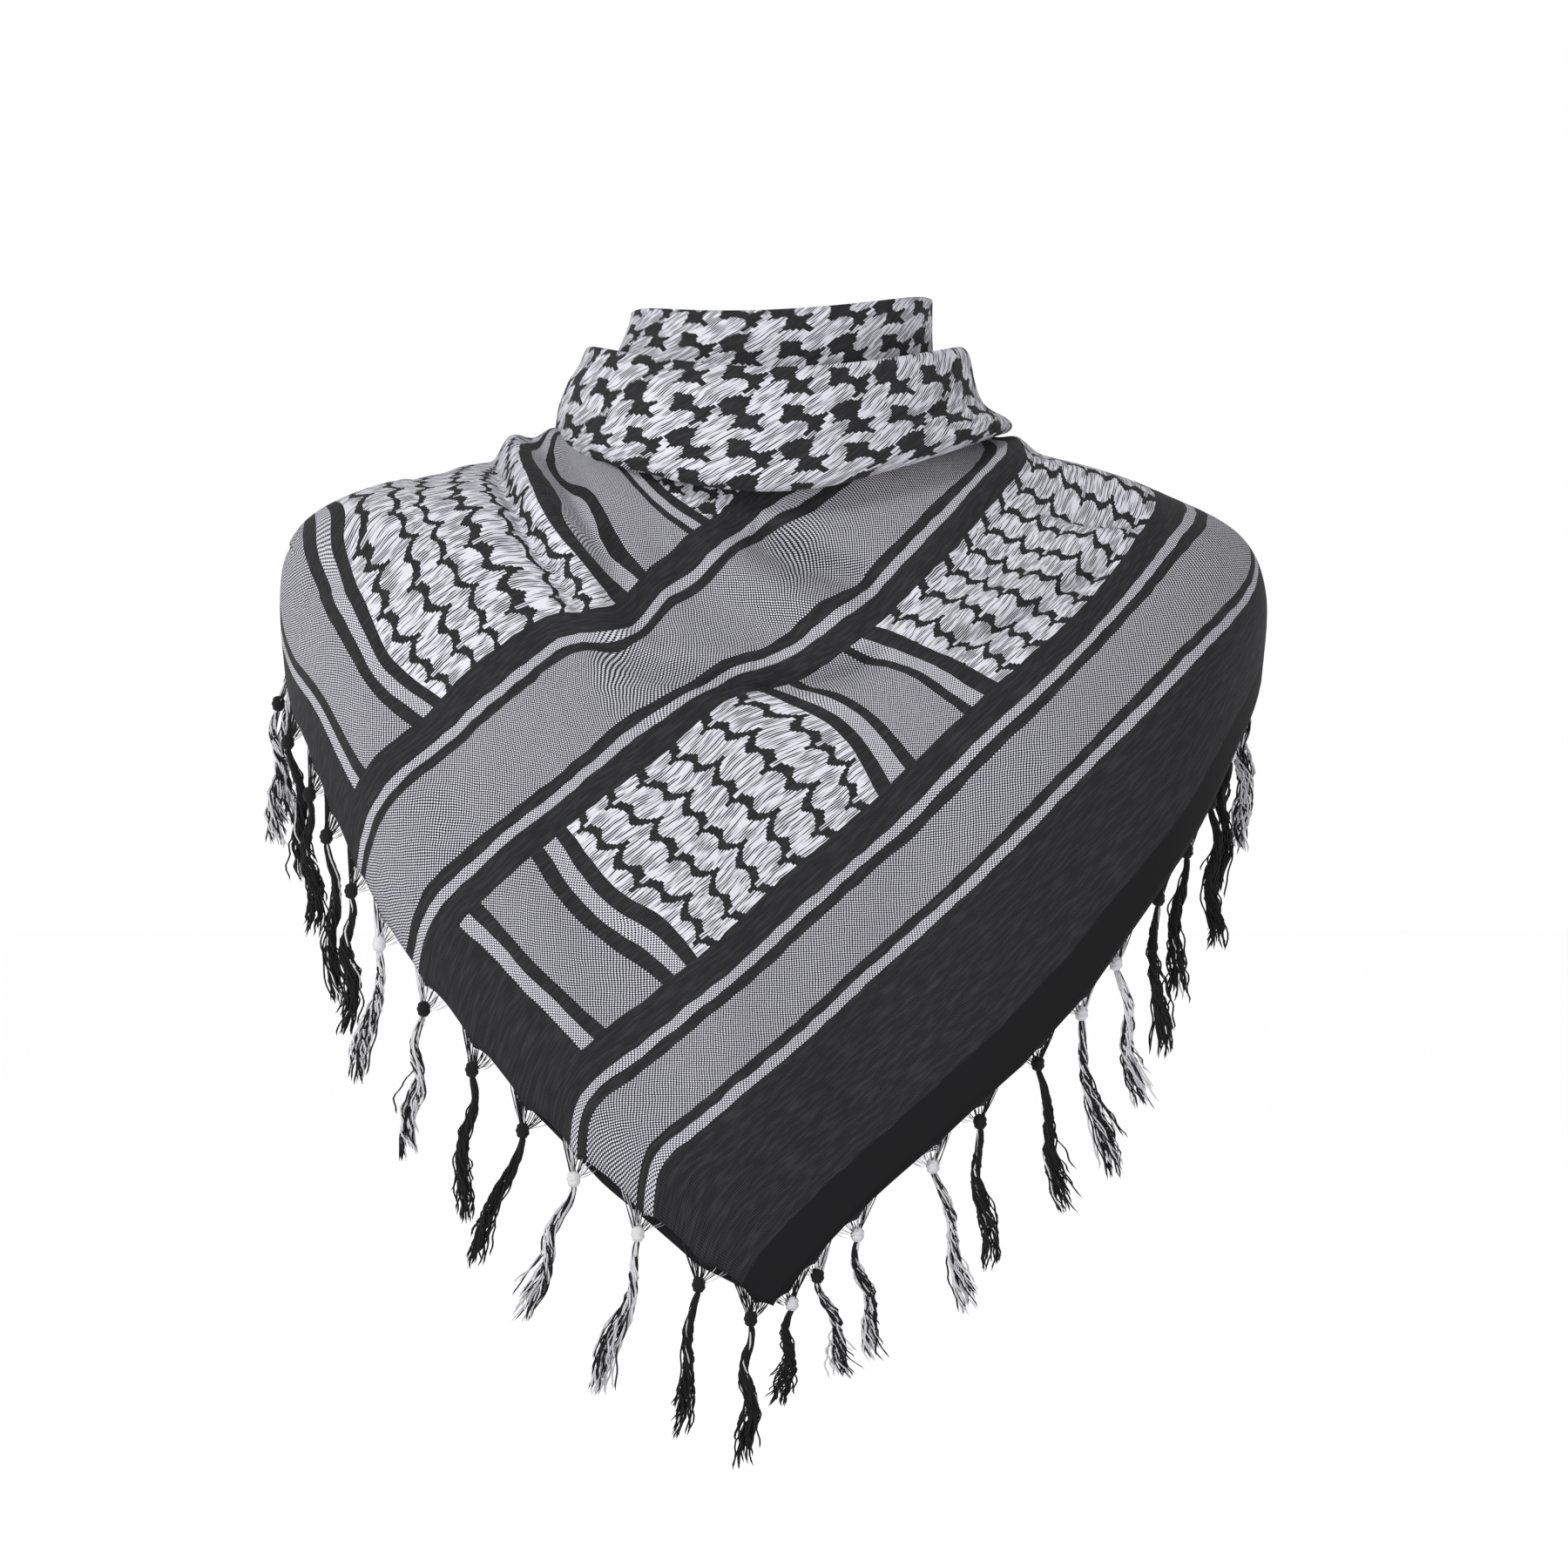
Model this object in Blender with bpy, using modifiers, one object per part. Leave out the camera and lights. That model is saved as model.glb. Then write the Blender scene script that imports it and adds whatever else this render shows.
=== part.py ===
"""A square cotton scarf, folded corner to corner and worn round the neck and shoulders.

The folded square hangs as two layers with its corner in front. Above them the cloth is turned
down into a wide roll round the neck, and its folded edge stands up inside the roll as a band.
The narrow ends of the fold cross at the nape. Two sides of the square carry knotted tassels,
and the other two have a dense woven selvage.

Sizes are in metres, +Z is up, the corner hangs on the -Y side, and the origin is the middle of
the neck at the height of the shoulders. An azimuth is 0 in front, positive towards +X and 180 at
the nape.
"""

import bmesh
import bpy
import numpy as np
from mathutils import Matrix, Vector

MM = 0.001
QUARTER = np.pi / 2

# Cloth
CLOTH = 1.5 * MM
LAYER_GAP = 0.8 * MM
DOUBLE_CLOTH = 2.0 * MM
NAPE_LIFT = 7.0 * MM

# Tassels
TASSEL_PITCH = 42.0 * MM
TASSELS_BEHIND = 8
HEM_GAP = 0.8 * MM
GATHER_WIDTH = 12.0 * MM
GATHER_THICKNESS = 1.3 * MM
KNOT_RADIUS = 4.0 * MM
KNOT_HEIGHT = 8.0 * MM
KNOT_DROP = {"left": 12.0 * MM, "right": 8.0 * MM}
KNOT_OUT = {"left": 4.5 * MM, "right": -4.0 * MM}
STRAND_SPREAD = 0.10
LENGTH_BEHIND = 74

# The tassels that hang in front, in mm: how far along the hem from the corner each one hangs,
# its length below the knot, how far its end leans to +X, and its threads.
TASSELS = (
    # side   along length lean threads
    ("left",    12,  74,    0, "black"),
    ("left",    46,  76,  -10, "black"),
    ("left",    89,  80,  -22, "mixed"),
    ("left",   135,  70,  -24, "mixed"),
    ("left",   174,  68,  -23, "black"),
    ("left",   218,  76,   -6, "black"),
    ("left",   262,  75,   -6, "mixed"),
    ("left",   307,  70,  -12, "mixed"),
    ("left",   342,  72,    0, "black"),
    ("left",   378,  84,    3, "black"),
    ("left",   406,  72,    4, "black"),
    ("left",   447,  70,    8, "black"),
    ("right",   13,  50,   -5, "black"),
    ("right",   34,  50,   14, "mixed"),
    ("right",   66,  62,   11, "mixed"),
    ("right",  122,  74,   18, "mixed"),
    ("right",  158,  74,    7, "black"),
    ("right",  204,  74,   15, "black"),
    ("right",  242,  82,   18, "mixed"),
    ("right",  277,  72,   11, "mixed"),
    ("right",  322,  80,    3, "black"),
    ("right",  356,  76,   -6, "black"),
    ("right",  390,  74,   -1, "black"),
    ("right",  424,  72,   -2, "black"),
)

# Rings of the shawl, from the neck to below its corner, in mm: how far the cloth stands from
# the neck's axis at the side, in front and behind, and its height at each of these.
SHAWL_RINGS = (
    # name       side front  back  z_side z_front z_back
    ("neckline",   98,   84,   86,     22,     -2,    14),
    ("collar",    128,   96,  100,      6,    -34,    -2),
    ("slope",     172,  112,  114,     -8,    -78,   -22),
    ("brow",      222,  128,  124,    -24,   -125,   -46),
    ("turn",      256,  140,  130,    -44,   -172,   -72),
    ("arm top",   269,  149,  134,    -74,   -225,  -100),
    ("arm",       267,  155,  136,   -118,   -290,  -140),
    ("elbow",     258,  157,  138,   -190,   -370,  -210),
    ("below",     250,  155,  138,   -280,   -470,  -300),
)
SHAWL_SQUARENESS = 2.25
SHAWL_ROWS = 19
FRONT_LIMIT = 84.0
FRONT_COLUMNS = 53
BACK_COLUMNS = 16
WING_END = 190.0

# How high the outer hem hangs on each side, in mm, at azimuths in degrees from the corner.
HEM = (
    # azimuth left right
    (0,    -456, -456),
    (15,   -428, -411),
    (32,   -385, -366),
    (44,   -347, -329),
    (54,   -303, -289),
    (62,   -265, -246),
    (70,   -212, -203),
    (78,   -157, -156),
    (86,   -126, -126),
    (96,   -110, -110),
    (110,   -96,  -96),
    (126,   -81,  -81),
    (142,   -64,  -64),
    (158,   -45,  -45),
    (176,   -20,  -20),
    (190,     2,    2),
)

# How much lower the under layer's hem hangs than the outer one, in mm.
UNDER_HEM = (
    # azimuth drop
    (-190,    0),
    (-60,     0),
    (-45,     3),
    (-30,     7),
    (-14,     7),
    (-4,      2),
    (0,      -1),
    (190,    -1),
)
UNDER_DEPTH = 60.0 * MM
UNDER_ROWS = 3

# Folds of the shawl that show from a step away, in mm: each runs along a bow through three
# points of the front view, and stands out of the cloth, or into it where its height is negative.
FOLDS = (
    # name              x0    z0    x1    z1    x2    z2  width height
    ("neck ridge",    -148,   12, -114,  -37,  -92,  -90,  15,   13),
    ("ridge foot",    -118,  -24,  -86,  -94,  -40, -116,  20,    5),
    ("neck trough",   -122,    6, -104,  -38,  -66,  -72,  13,   -8),
    ("swag left",      -60, -100,  -20, -112,   40, -110,  15,    8),
    ("swag right",      30, -110,   90,  -98,  165,  -62,  14,    8),
    ("under swag",     -40, -134,   50, -132,  150,  -84,  16,   -5),
    ("collar hollow",  -10,  -44,   32,  -66,   80,  -52,  17,   -7),
    ("right ridge",    137,   12,  112,  -32,   70,  -78,  11,    8),
    ("right pleat",    150,   -6,  178,  -26,  208,  -36,   9,    4),
    ("left arm wave", -232,  -70, -214, -150, -190, -240,  26,    5),
    ("right arm wave", 232,  -80,  216, -150,  196, -220,  26,    4),
    ("chest wave",     -60, -220,  -30, -300,    0, -380,  34,    4),
    ("left shoulder", -262,  -52, -244,  -30, -196,  -14,  26,    7),
)
BOW_POINTS = 25

# The roll round the neck, from its inner leg over the crest and the lip to its tucked edge.
ROLL_RINGS = (
    # name     side front  back  z_side z_front z_back
    ("seat",     90,   84,   89,     46,     32,    44),
    ("inside",   94,   88,   94,     55,     42,    53),
    ("crest",   102,   96,  101,     60,     47,    58),
    ("upper",   112,  104,  109,     50,     36,    50),
    ("middle",  126,  112,  117,     32,     16,    34),
    ("belly",   131,  114,  120,     18,     -6,    18),
    ("lip",     124,  106,  115,     12,    -20,     8),
    ("tuck",    112, 94.2,  105,     19,    -21,    12),
)
ROLL_ROWS = 12
ROLL_COLUMNS = 60
ROLL_ENDS = (-192.0, 186.0)
ROLL_LIFT = 4.0 * MM
ROLL_WAVE = 1.8 * MM
ROLL_WAVES = 2.5
ROLL_LEFT_TUCK = 9.0 * MM

# The folded edge that stands inside the roll, from the fold down to its foot.
BAND_RINGS = (
    # name     side front  back  z_side z_front z_back
    ("fold",     87,   81,   81,     85,     79,    78),
    ("neck",     87,   81,   81,     62,     48,    54),
    ("waist",    89,   82,   82,     36,     18,    30),
    ("foot",     97, 83.5, 85.5,  22.6,   -1.4,  14.6),
)
BAND_ROWS = 6
BAND_COLUMNS = 48
BAND_ENDS = (-188.0, 188.0)
BAND_LIFT = 4.0 * MM
NECK_SQUARENESS = 2.1

COTTON = (
    # finish            red    green  blue   roughness
    ("check cloth",     0.150, 0.150, 0.165, 0.90),
    ("black cloth",     0.014, 0.014, 0.016, 0.92),
    ("starred cloth",   0.330, 0.330, 0.345, 0.92),
    ("black cotton",    0.012, 0.012, 0.014, 0.85),
    ("mixed cotton",    0.260, 0.260, 0.270, 0.85),
)


def ring_table(rings):
    """The rings' sizes as one array in metres, a row for each ring."""
    return np.array([row[1:] for row in rings], float) * MM


def between(values, at):
    """Values read at fractional rows, on a smooth curve through all of them."""
    last = len(values) - 1
    at = np.clip(at, 0, last)
    low = np.minimum(at.astype(int), last - 1)
    share = (at - low)[..., None]
    before = values[np.maximum(low - 1, 0)]
    start, end = values[low], values[low + 1]
    after = values[np.minimum(low + 2, last)]
    return 0.5 * (
        2 * start
        + (end - before) * share
        + (2 * before - 5 * start + 4 * end - after) * share**2
        + (3 * start - before - 3 * end + after) * share**3
    )


def on_rings(table, squareness, azimuth, at):
    """Points on the rings: each ring is a rounded oval, deeper or shallower in front and behind,
    and its height runs smoothly from front to side to back."""
    azimuth, at = np.broadcast_arrays(azimuth, at)
    size = between(table, at)
    side, front, back, z_side, z_front, z_back = np.moveaxis(size, -1, 0)
    sine, cosine = np.sin(azimuth), np.cos(azimuth)
    depth = np.where(cosine > 0, front, back)
    radius = (
        np.abs(sine / side) ** squareness + np.abs(cosine / depth) ** squareness
    ) ** (-1 / squareness)
    z_end = np.where(cosine > 0, z_front, z_back)
    height = z_side + (z_end - z_side) * cosine**2
    return np.stack([radius * sine, -radius * cosine, height], axis=-1)


def outward(surface, azimuth, at):
    """The outward normals of a surface, from its slopes across and down."""
    step = 0.01
    across = surface(azimuth + step, at) - surface(azimuth - step, at)
    down = surface(azimuth, at + step) - surface(azimuth, at - step)
    normal = np.cross(down, across)
    return normal / np.maximum(np.linalg.norm(normal, axis=-1, keepdims=True), 1e-12)


def eased(value, low, high):
    """0 up to the low value and 1 from the high one, with a soft start and end between them."""
    share = np.clip((value - low) / (high - low), 0, 1)
    return share * share * (3 - 2 * share)


def nape_lift(azimuth, height):
    """How far the end that comes round from the left stands off, to pass over the other one."""
    return height * eased(-np.degrees(azimuth), 140.0, 168.0)[..., None]


def near_bow(fold, points):
    """How far points of the front view lie from a fold's bow, and their share along it."""
    x0, z0, x1, z1, x2, z2 = (value * MM for value in fold[1:7])
    share = np.linspace(0, 1, BOW_POINTS)
    bow_x = (1 - share) ** 2 * x0 + 2 * share * (1 - share) * x1 + share**2 * x2
    bow_z = (1 - share) ** 2 * z0 + 2 * share * (1 - share) * z1 + share**2 * z2
    away = np.hypot(
        points[..., 0, None] - bow_x,
        points[..., 2, None] - bow_z,
    )
    return away.min(axis=-1), share[away.argmin(axis=-1)]


def fold_height(points):
    """How far the folds lift the shawl at each point. A fold is a bell across, lower towards its
    two ends, and is only on the front of the shawl."""
    total = np.zeros(points.shape[:-1])
    for fold in FOLDS:
        width, height = fold[7] * MM, fold[8] * MM
        away, share = near_bow(fold, points)
        fade = 0.4 + 0.6 * np.sin(np.pi * share) ** 0.5
        total += height * fade * np.exp(-((away / width) ** 2))
    return total * eased(-points[..., 1], -0.06, 0.0)


def shawl_base(azimuth, at):
    """The shawl before its folds."""
    return on_rings(ring_table(SHAWL_RINGS), SHAWL_SQUARENESS, azimuth, at)


def shawl(azimuth, at):
    """The outer face of the shawl, with its folds, and with its left end lifted at the nape."""
    base = shawl_base(azimuth, at)
    raised = fold_height(base)[..., None] + nape_lift(azimuth, NAPE_LIFT)
    return base + outward(shawl_base, azimuth, at) * raised


def roll(azimuth, at):
    """The outer face of the roll: its section carried round the neck, with soft waves in it."""
    table = ring_table(ROLL_RINGS)

    def plain(azimuth, at):
        return on_rings(table, NECK_SQUARENESS, azimuth, at)

    ride = np.sin(at * np.pi / (len(table) - 1))
    wave = ROLL_WAVE * ride * np.sin(ROLL_WAVES * at + azimuth)
    below_crest = eased(at, 2.0, 4.5) * (1 - eased(at, 6.0, 7.0))
    tucked = ROLL_LEFT_TUCK * below_crest * eased(-np.sin(azimuth), 0.3, 1.0)
    raised = (wave - tucked)[..., None] + nape_lift(azimuth, ROLL_LIFT)
    return plain(azimuth, at) + outward(plain, azimuth, at) * raised


def band(azimuth, at):
    """The outer face of the band that stands inside the roll."""
    table = ring_table(BAND_RINGS)

    def plain(azimuth, at):
        return on_rings(table, NECK_SQUARENESS, azimuth, at)

    return plain(azimuth, at) - outward(plain, azimuth, at) * nape_lift(azimuth, BAND_LIFT)


def hem_height(azimuth):
    """The outer hem's height at azimuths in radians."""
    table = np.array(HEM, float)
    away = np.degrees(np.abs(azimuth))
    left = np.interp(away, table[:, 0], table[:, 1] * MM)
    right = np.interp(away, table[:, 0], table[:, 2] * MM)
    return np.where(azimuth < 0, left, right)


def under_drop(azimuth):
    """How much lower the under layer's hem hangs at azimuths in radians."""
    table = np.array(UNDER_HEM, float)
    return np.interp(np.degrees(azimuth), table[:, 0], table[:, 1] * MM)


def ring_at_height(azimuth, height):
    """The fractional ring at which each column of the shawl comes down to a height."""
    fine = np.linspace(0, len(SHAWL_RINGS) - 1, 400)
    levels = shawl_base(azimuth[:, None], fine)[..., 2]
    return np.array([np.interp(-z, -level, fine) for z, level in zip(height, levels)])


def shawl_azimuths():
    """The shawl's columns, close together in front and wider apart behind."""
    left = np.linspace(-WING_END, -FRONT_LIMIT, BACK_COLUMNS, endpoint=False)
    front = np.linspace(-FRONT_LIMIT, FRONT_LIMIT, FRONT_COLUMNS)
    return np.radians(np.concatenate([left, front, -left[::-1]]))


def outer_points():
    """The outer layer's grid, a row for each step from its hem up to the neckline."""
    azimuth = shawl_azimuths()
    lowest = ring_at_height(azimuth, hem_height(azimuth))
    at = np.linspace(1, 0, SHAWL_ROWS)[:, None] * lowest
    return shawl(azimuth, at)


def under_surface(azimuth, at):
    """The outer face of the under layer, just inside the outer layer's wall."""
    return shawl(azimuth, at) - outward(shawl, azimuth, at) * (CLOTH + LAYER_GAP)


def under_points():
    """The part of the under layer that shows at the hem."""
    azimuth = shawl_azimuths()
    hem = hem_height(azimuth) - under_drop(azimuth)
    lowest = ring_at_height(azimuth, hem)
    highest = ring_at_height(azimuth, hem + np.minimum(UNDER_DEPTH, (0.02 - hem) * 0.6))
    share = np.linspace(0, 1, UNDER_ROWS)[:, None]
    return under_surface(azimuth, lowest + (highest - lowest) * share)


def new_material(name):
    """One of the cotton finishes as a Principled material."""
    row = next(row for row in COTTON if row[0] == name)
    material = bpy.data.materials.get(name) or bpy.data.materials.new(name)
    material.use_nodes = True
    shader = material.node_tree.nodes["Principled BSDF"]
    shader.inputs["Base Color"].default_value = (*row[1:4], 1)
    shader.inputs["Roughness"].default_value = row[4]
    shader.inputs["Metallic"].default_value = 0
    return material


def new_object(name, mesh, finish, collection):
    """An object in the scarf's collection, with its own finish."""
    obj = bpy.data.objects.new(name, mesh)
    mesh.materials.append(new_material(finish))
    mesh.shade_smooth()
    collection.objects.link(obj)
    return obj


def cloth_wall(name, points, thickness, finish, collection):
    """A wall of cloth: a flat grid bent to the points, then thickened towards its inside."""
    rows, columns = points.shape[:2]
    sheet = bmesh.new()
    bmesh.ops.create_grid(sheet, x_segments=columns - 1, y_segments=rows - 1, size=1)
    for vert, point in zip(sheet.verts, points.reshape(-1, 3)):
        vert.co = point
    mesh = bpy.data.meshes.new(name)
    sheet.to_mesh(mesh)
    sheet.free()
    obj = new_object(name, mesh, finish, collection)
    wall = obj.modifiers.new("Cloth thickness", "SOLIDIFY")
    wall.thickness = thickness
    wall.offset = -1
    return obj


def neck_piece(name, surface, rings, rows, columns, ends, collection):
    """A stretch of the cloth that goes round the neck, of doubled cloth."""
    azimuth = np.radians(np.linspace(*ends, columns))
    at = np.linspace(len(rings) - 1, 0, rows)[:, None]
    points = surface(azimuth, at)
    return cloth_wall(name, points, DOUBLE_CLOTH, "starred cloth", collection)


def tassel_rows(word):
    """One side's tassels as rows of the table: those in front, then equal ones behind."""
    rows = [row for row in TASSELS if row[0] == word]
    for _ in range(TASSELS_BEHIND):
        along = rows[-1][1] + TASSEL_PITCH / MM
        threads = "mixed" if len(rows) % 5 in (2, 3) else "black"
        rows.append((word, along, LENGTH_BEHIND, 0, threads))
    return rows


def hem_line(word):
    """One side's hem from the corner round to the nape, as its points and outward normals. The
    left tassels hang from the outer layer and the right ones from the under layer."""
    azimuth = shawl_azimuths()
    points = outer_points()[0] if word == "left" else under_points()[0]
    normals = outward(shawl_base, azimuth, ring_at_height(azimuth, hem_height(azimuth)))
    half = azimuth <= 0 if word == "left" else azimuth >= 0
    order = -1 if word == "left" else 1
    return points[half][::order], normals[half][::order]


def hem_place(line, normals, along):
    """The point of a hem that lies this far along it, with its direction and its normal."""
    steps = np.linalg.norm(np.diff(line, axis=0), axis=1)
    length = np.concatenate([[0], np.cumsum(steps)])
    step = min(np.searchsorted(length, along, side="right") - 1, len(steps) - 1)
    share = (along - length[step]) / steps[step]
    point = line[step] + (line[step + 1] - line[step]) * share
    normal = normals[step] + (normals[step + 1] - normals[step]) * share
    return Vector(point), Vector(line[step + 1] - line[step]).normalized(), Vector(normal)


def tassel(name, place, row, collection):
    """A tassel: threads gathered from the hem into a knot, with loose strands below it."""
    word, _, length, lean, threads = row
    hem, along, normal = place
    normal = (normal - along * normal.dot(along)).normalized()
    away = normal.cross(along).normalized()
    if away.z > 0:
        away = -away
    seat = hem - normal * (CLOTH / 2) + away * HEM_GAP
    drop = (away + Vector((0, 0, -1))) * (KNOT_DROP[word] / 2)
    knot = seat + drop + normal * KNOT_OUT[word]
    shape = bmesh.new()
    bmesh.ops.create_cone(
        shape,
        cap_ends=True,
        segments=4,
        radius1=KNOT_RADIUS * 0.8,
        radius2=KNOT_RADIUS,
        depth=KNOT_HEIGHT / 2,
    )
    top = max(shape.faces, key=lambda face: face.calc_center_median().z)
    bottom = min(shape.faces, key=lambda face: face.calc_center_median().z)
    shoulder = extruded(shape, top)
    bmesh.ops.translate(shape, vec=(0, 0, KNOT_HEIGHT / 2), verts=shoulder.verts)
    bmesh.ops.scale(shape, vec=(0.6, 0.6, 1), verts=shoulder.verts)
    turn = along.to_2d().angle_signed((1, 0)) if along.to_2d().length else 0
    bmesh.ops.rotate(
        shape,
        matrix=Matrix.Rotation(turn + QUARTER / 2, 3, "Z"),
        verts=shape.verts,
    )
    gather = extruded(shape, shoulder)
    for vert in gather.verts:
        across = GATHER_WIDTH if vert.co.dot(along) > 0 else -GATHER_WIDTH
        through = GATHER_THICKNESS if vert.co.dot(normal) > 0 else -GATHER_THICKNESS
        vert.co = seat - knot + along * (across / 2) + normal * (through / 2)
    ends = bmesh.ops.poke(shape, faces=[bottom])["faces"]
    bmesh.ops.inset_individual(shape, faces=ends, thickness=KNOT_RADIUS * 0.12)
    for share, sway in ((0.45, 0.7), (0.55, 1.3)):
        ends = bmesh.ops.extrude_discrete_faces(shape, faces=ends)["faces"]
        for number, face in enumerate(ends):
            middle = face.calc_center_median()
            spread = Vector((middle.x, middle.y, 0)).normalized() * STRAND_SPREAD * length
            if share > 0.5:
                spread *= -0.4
            reach = length * (1 + 0.1 * ((number * 2) % 3 - 1))
            fall = (spread + Vector((lean * sway, 0, -reach))) * share * MM
            bmesh.ops.translate(shape, vec=fall, verts=face.verts)
    bmesh.ops.recalc_face_normals(shape, faces=shape.faces)
    mesh = bpy.data.meshes.new(name)
    shape.to_mesh(mesh)
    shape.free()
    obj = new_object(name, mesh, f"{threads} cotton", collection)
    obj.location = knot
    return obj


def extruded(shape, face):
    """The face that an extrusion of one face carries at its end."""
    made = bmesh.ops.extrude_discrete_faces(shape, faces=[face])
    return made["faces"][0]


def main():
    """Clears the scene and builds the scarf."""
    for obj in list(bpy.data.objects):
        bpy.data.objects.remove(obj)
    scarf = bpy.data.collections.new("scarf")
    bpy.context.scene.collection.children.link(scarf)
    cloth_wall("outer_layer", outer_points(), CLOTH, "check cloth", scarf)
    cloth_wall("under_layer", under_points(), CLOTH, "black cloth", scarf)
    neck_piece("neck_roll", roll, ROLL_RINGS, ROLL_ROWS, ROLL_COLUMNS, ROLL_ENDS, scarf)
    neck_piece("neck_band", band, BAND_RINGS, BAND_ROWS, BAND_COLUMNS, BAND_ENDS, scarf)
    for word in ("left", "right"):
        line, normals = hem_line(word)
        for number, row in enumerate(tassel_rows(word), start=1):
            place = hem_place(line, normals, row[1] * MM)
            tassel(f"tassel_{word}_{number:02d}", place, row, scarf)


if __name__ == "__main__":
    main()
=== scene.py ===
"""The looks of a square cotton scarf, folded corner to corner and worn with its corner in front.

Each stretch of the cloth is a thin shell on the form of its CAD solid, with finer creases. Every
point of it knows where it lies in the flat square, and one woven finish reads its bands, checks
and float-woven blocks from that. The tassels are gathered threads, a knot and loose strands.

Sizes are in millimetres where a name or a table says so, and otherwise in metres.
"""

import logging
from dataclasses import dataclass, field
from enum import Enum
from typing import Union

import bpy
import numpy as np
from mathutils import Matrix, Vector


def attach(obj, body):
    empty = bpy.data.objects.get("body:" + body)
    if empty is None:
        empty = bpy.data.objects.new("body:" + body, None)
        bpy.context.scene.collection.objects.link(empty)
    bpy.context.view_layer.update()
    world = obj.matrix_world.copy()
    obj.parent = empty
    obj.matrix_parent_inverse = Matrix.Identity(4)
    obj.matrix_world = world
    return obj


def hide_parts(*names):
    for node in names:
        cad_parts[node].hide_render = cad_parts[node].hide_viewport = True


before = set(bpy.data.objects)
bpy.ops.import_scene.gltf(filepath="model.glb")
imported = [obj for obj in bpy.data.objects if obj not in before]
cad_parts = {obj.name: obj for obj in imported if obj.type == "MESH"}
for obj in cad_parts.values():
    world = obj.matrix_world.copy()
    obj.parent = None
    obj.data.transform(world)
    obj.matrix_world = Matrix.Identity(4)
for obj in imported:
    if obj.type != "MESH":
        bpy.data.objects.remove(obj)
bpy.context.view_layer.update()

LOG = logging.getLogger("scarf")
MM = 0.001
BODY = "root"
CUT_SIDE = 1100.0


class Threads(Enum):
    """The threads that a tassel is made of."""

    BLACK = "black"
    MIXED = "mixed"
    WHITE = "white"


class Side(Enum):
    """The two tasselled sides: the left one of the outer layer, the right one of the under."""

    LEFT = "left"
    RIGHT = "right"


@dataclass(frozen=True)
class Ring:
    """One oval of a draped form, in mm: its reach at the side, in front and behind, and its
    height at each of these."""

    side: float
    front: float
    back: float
    z_side: float
    z_front: float
    z_back: float

    def row(self) -> list[float]:
        """The ring's six sizes in metres."""
        sizes = (self.side, self.front, self.back, self.z_side, self.z_front, self.z_back)
        return [size * MM for size in sizes]


@dataclass(frozen=True)
class Fold:
    """A fold or crease along a bow through three points of the front view, in mm. It stands out
    of the cloth, or goes into it where its height is negative."""

    x0: float
    z0: float
    x1: float
    z1: float
    x2: float
    z2: float
    width: float
    height: float


def between(values: np.ndarray, at: np.ndarray) -> np.ndarray:
    """Values read at fractional rows: a Catmull-Rom curve through all of the rows.

    Args:
        values: a row of numbers for each ring.
        at: fractional row numbers, of any shape.

    Returns:
        The read rows, with the shape of at and one axis more.
    """
    last = len(values) - 1
    at = np.clip(at, 0, last)
    low = np.minimum(at.astype(int), last - 1)
    share = (at - low)[..., None]
    before = values[np.maximum(low - 1, 0)]
    start, end = values[low], values[low + 1]
    after = values[np.minimum(low + 2, last)]
    return 0.5 * (
        2 * start
        + (end - before) * share
        + (2 * before - 5 * start + 4 * end - after) * share**2
        + (3 * start - before - 3 * end + after) * share**3
    )


def eased(value: np.ndarray, low: float, high: float) -> np.ndarray:
    """0 up to low and 1 from high, with the smooth step 3s^2 - 2s^3 between them."""
    share = np.clip((value - low) / (high - low), 0, 1)
    return share * share * (3 - 2 * share)


def unit(vectors: np.ndarray) -> np.ndarray:
    """The vectors at length 1."""
    return vectors / np.maximum(np.linalg.norm(vectors, axis=-1, keepdims=True), 1e-12)


def arc_lengths(points: np.ndarray) -> np.ndarray:
    """The running length along a line of points, from 0."""
    steps = np.linalg.norm(np.diff(points, axis=0), axis=-1)
    return np.concatenate([np.zeros((1, *steps.shape[1:])), np.cumsum(steps, axis=0)])


@dataclass(frozen=True)
class RingForm:
    """A surface through rounded ovals, read by azimuth and by fractional ring."""

    rings: tuple[Ring, ...]
    squareness: float

    def point(self, azimuth: np.ndarray, at: np.ndarray) -> np.ndarray:
        """Points on the form. A ring's radius is (|sin/side|^p + |cos/depth|^p)^(-1/p), and its
        height goes from the side's to the front's or the back's with the cosine squared.

        Args:
            azimuth: radians from the front, positive to +X.
            at: fractional ring numbers.

        Returns:
            Points in metres.
        """
        azimuth, at = np.broadcast_arrays(azimuth, at)
        size = between(np.array([ring.row() for ring in self.rings]), at)
        side, front, back, z_side, z_front, z_back = np.moveaxis(size, -1, 0)
        sine, cosine = np.sin(azimuth), np.cos(azimuth)
        power = self.squareness
        depth = np.where(cosine > 0, front, back)
        reach = np.abs(sine / side) ** power + np.abs(cosine / depth) ** power
        radius = reach ** (-1 / power)
        z_end = np.where(cosine > 0, z_front, z_back)
        height = z_side + (z_end - z_side) * cosine**2
        return np.stack([radius * sine, -radius * cosine, height], axis=-1)

    def normal(self, azimuth: np.ndarray, at: np.ndarray) -> np.ndarray:
        """Outward normals: the cross product of the slopes down and across."""
        step = 0.01
        across = self.point(azimuth + step, at) - self.point(azimuth - step, at)
        down = self.point(azimuth, at + step) - self.point(azimuth, at - step)
        return unit(np.cross(down, across))


def nape_lift(
    azimuth: np.ndarray, height: float, begins: float = 140.0, full: float = 168.0
) -> np.ndarray:
    """How far the end that comes round from the left stands off, to pass over the other one.
    It begins to lift, and is lifted in full, at azimuths in degrees to the left."""
    return height * eased(-np.degrees(azimuth), begins, full)[..., None]


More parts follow.
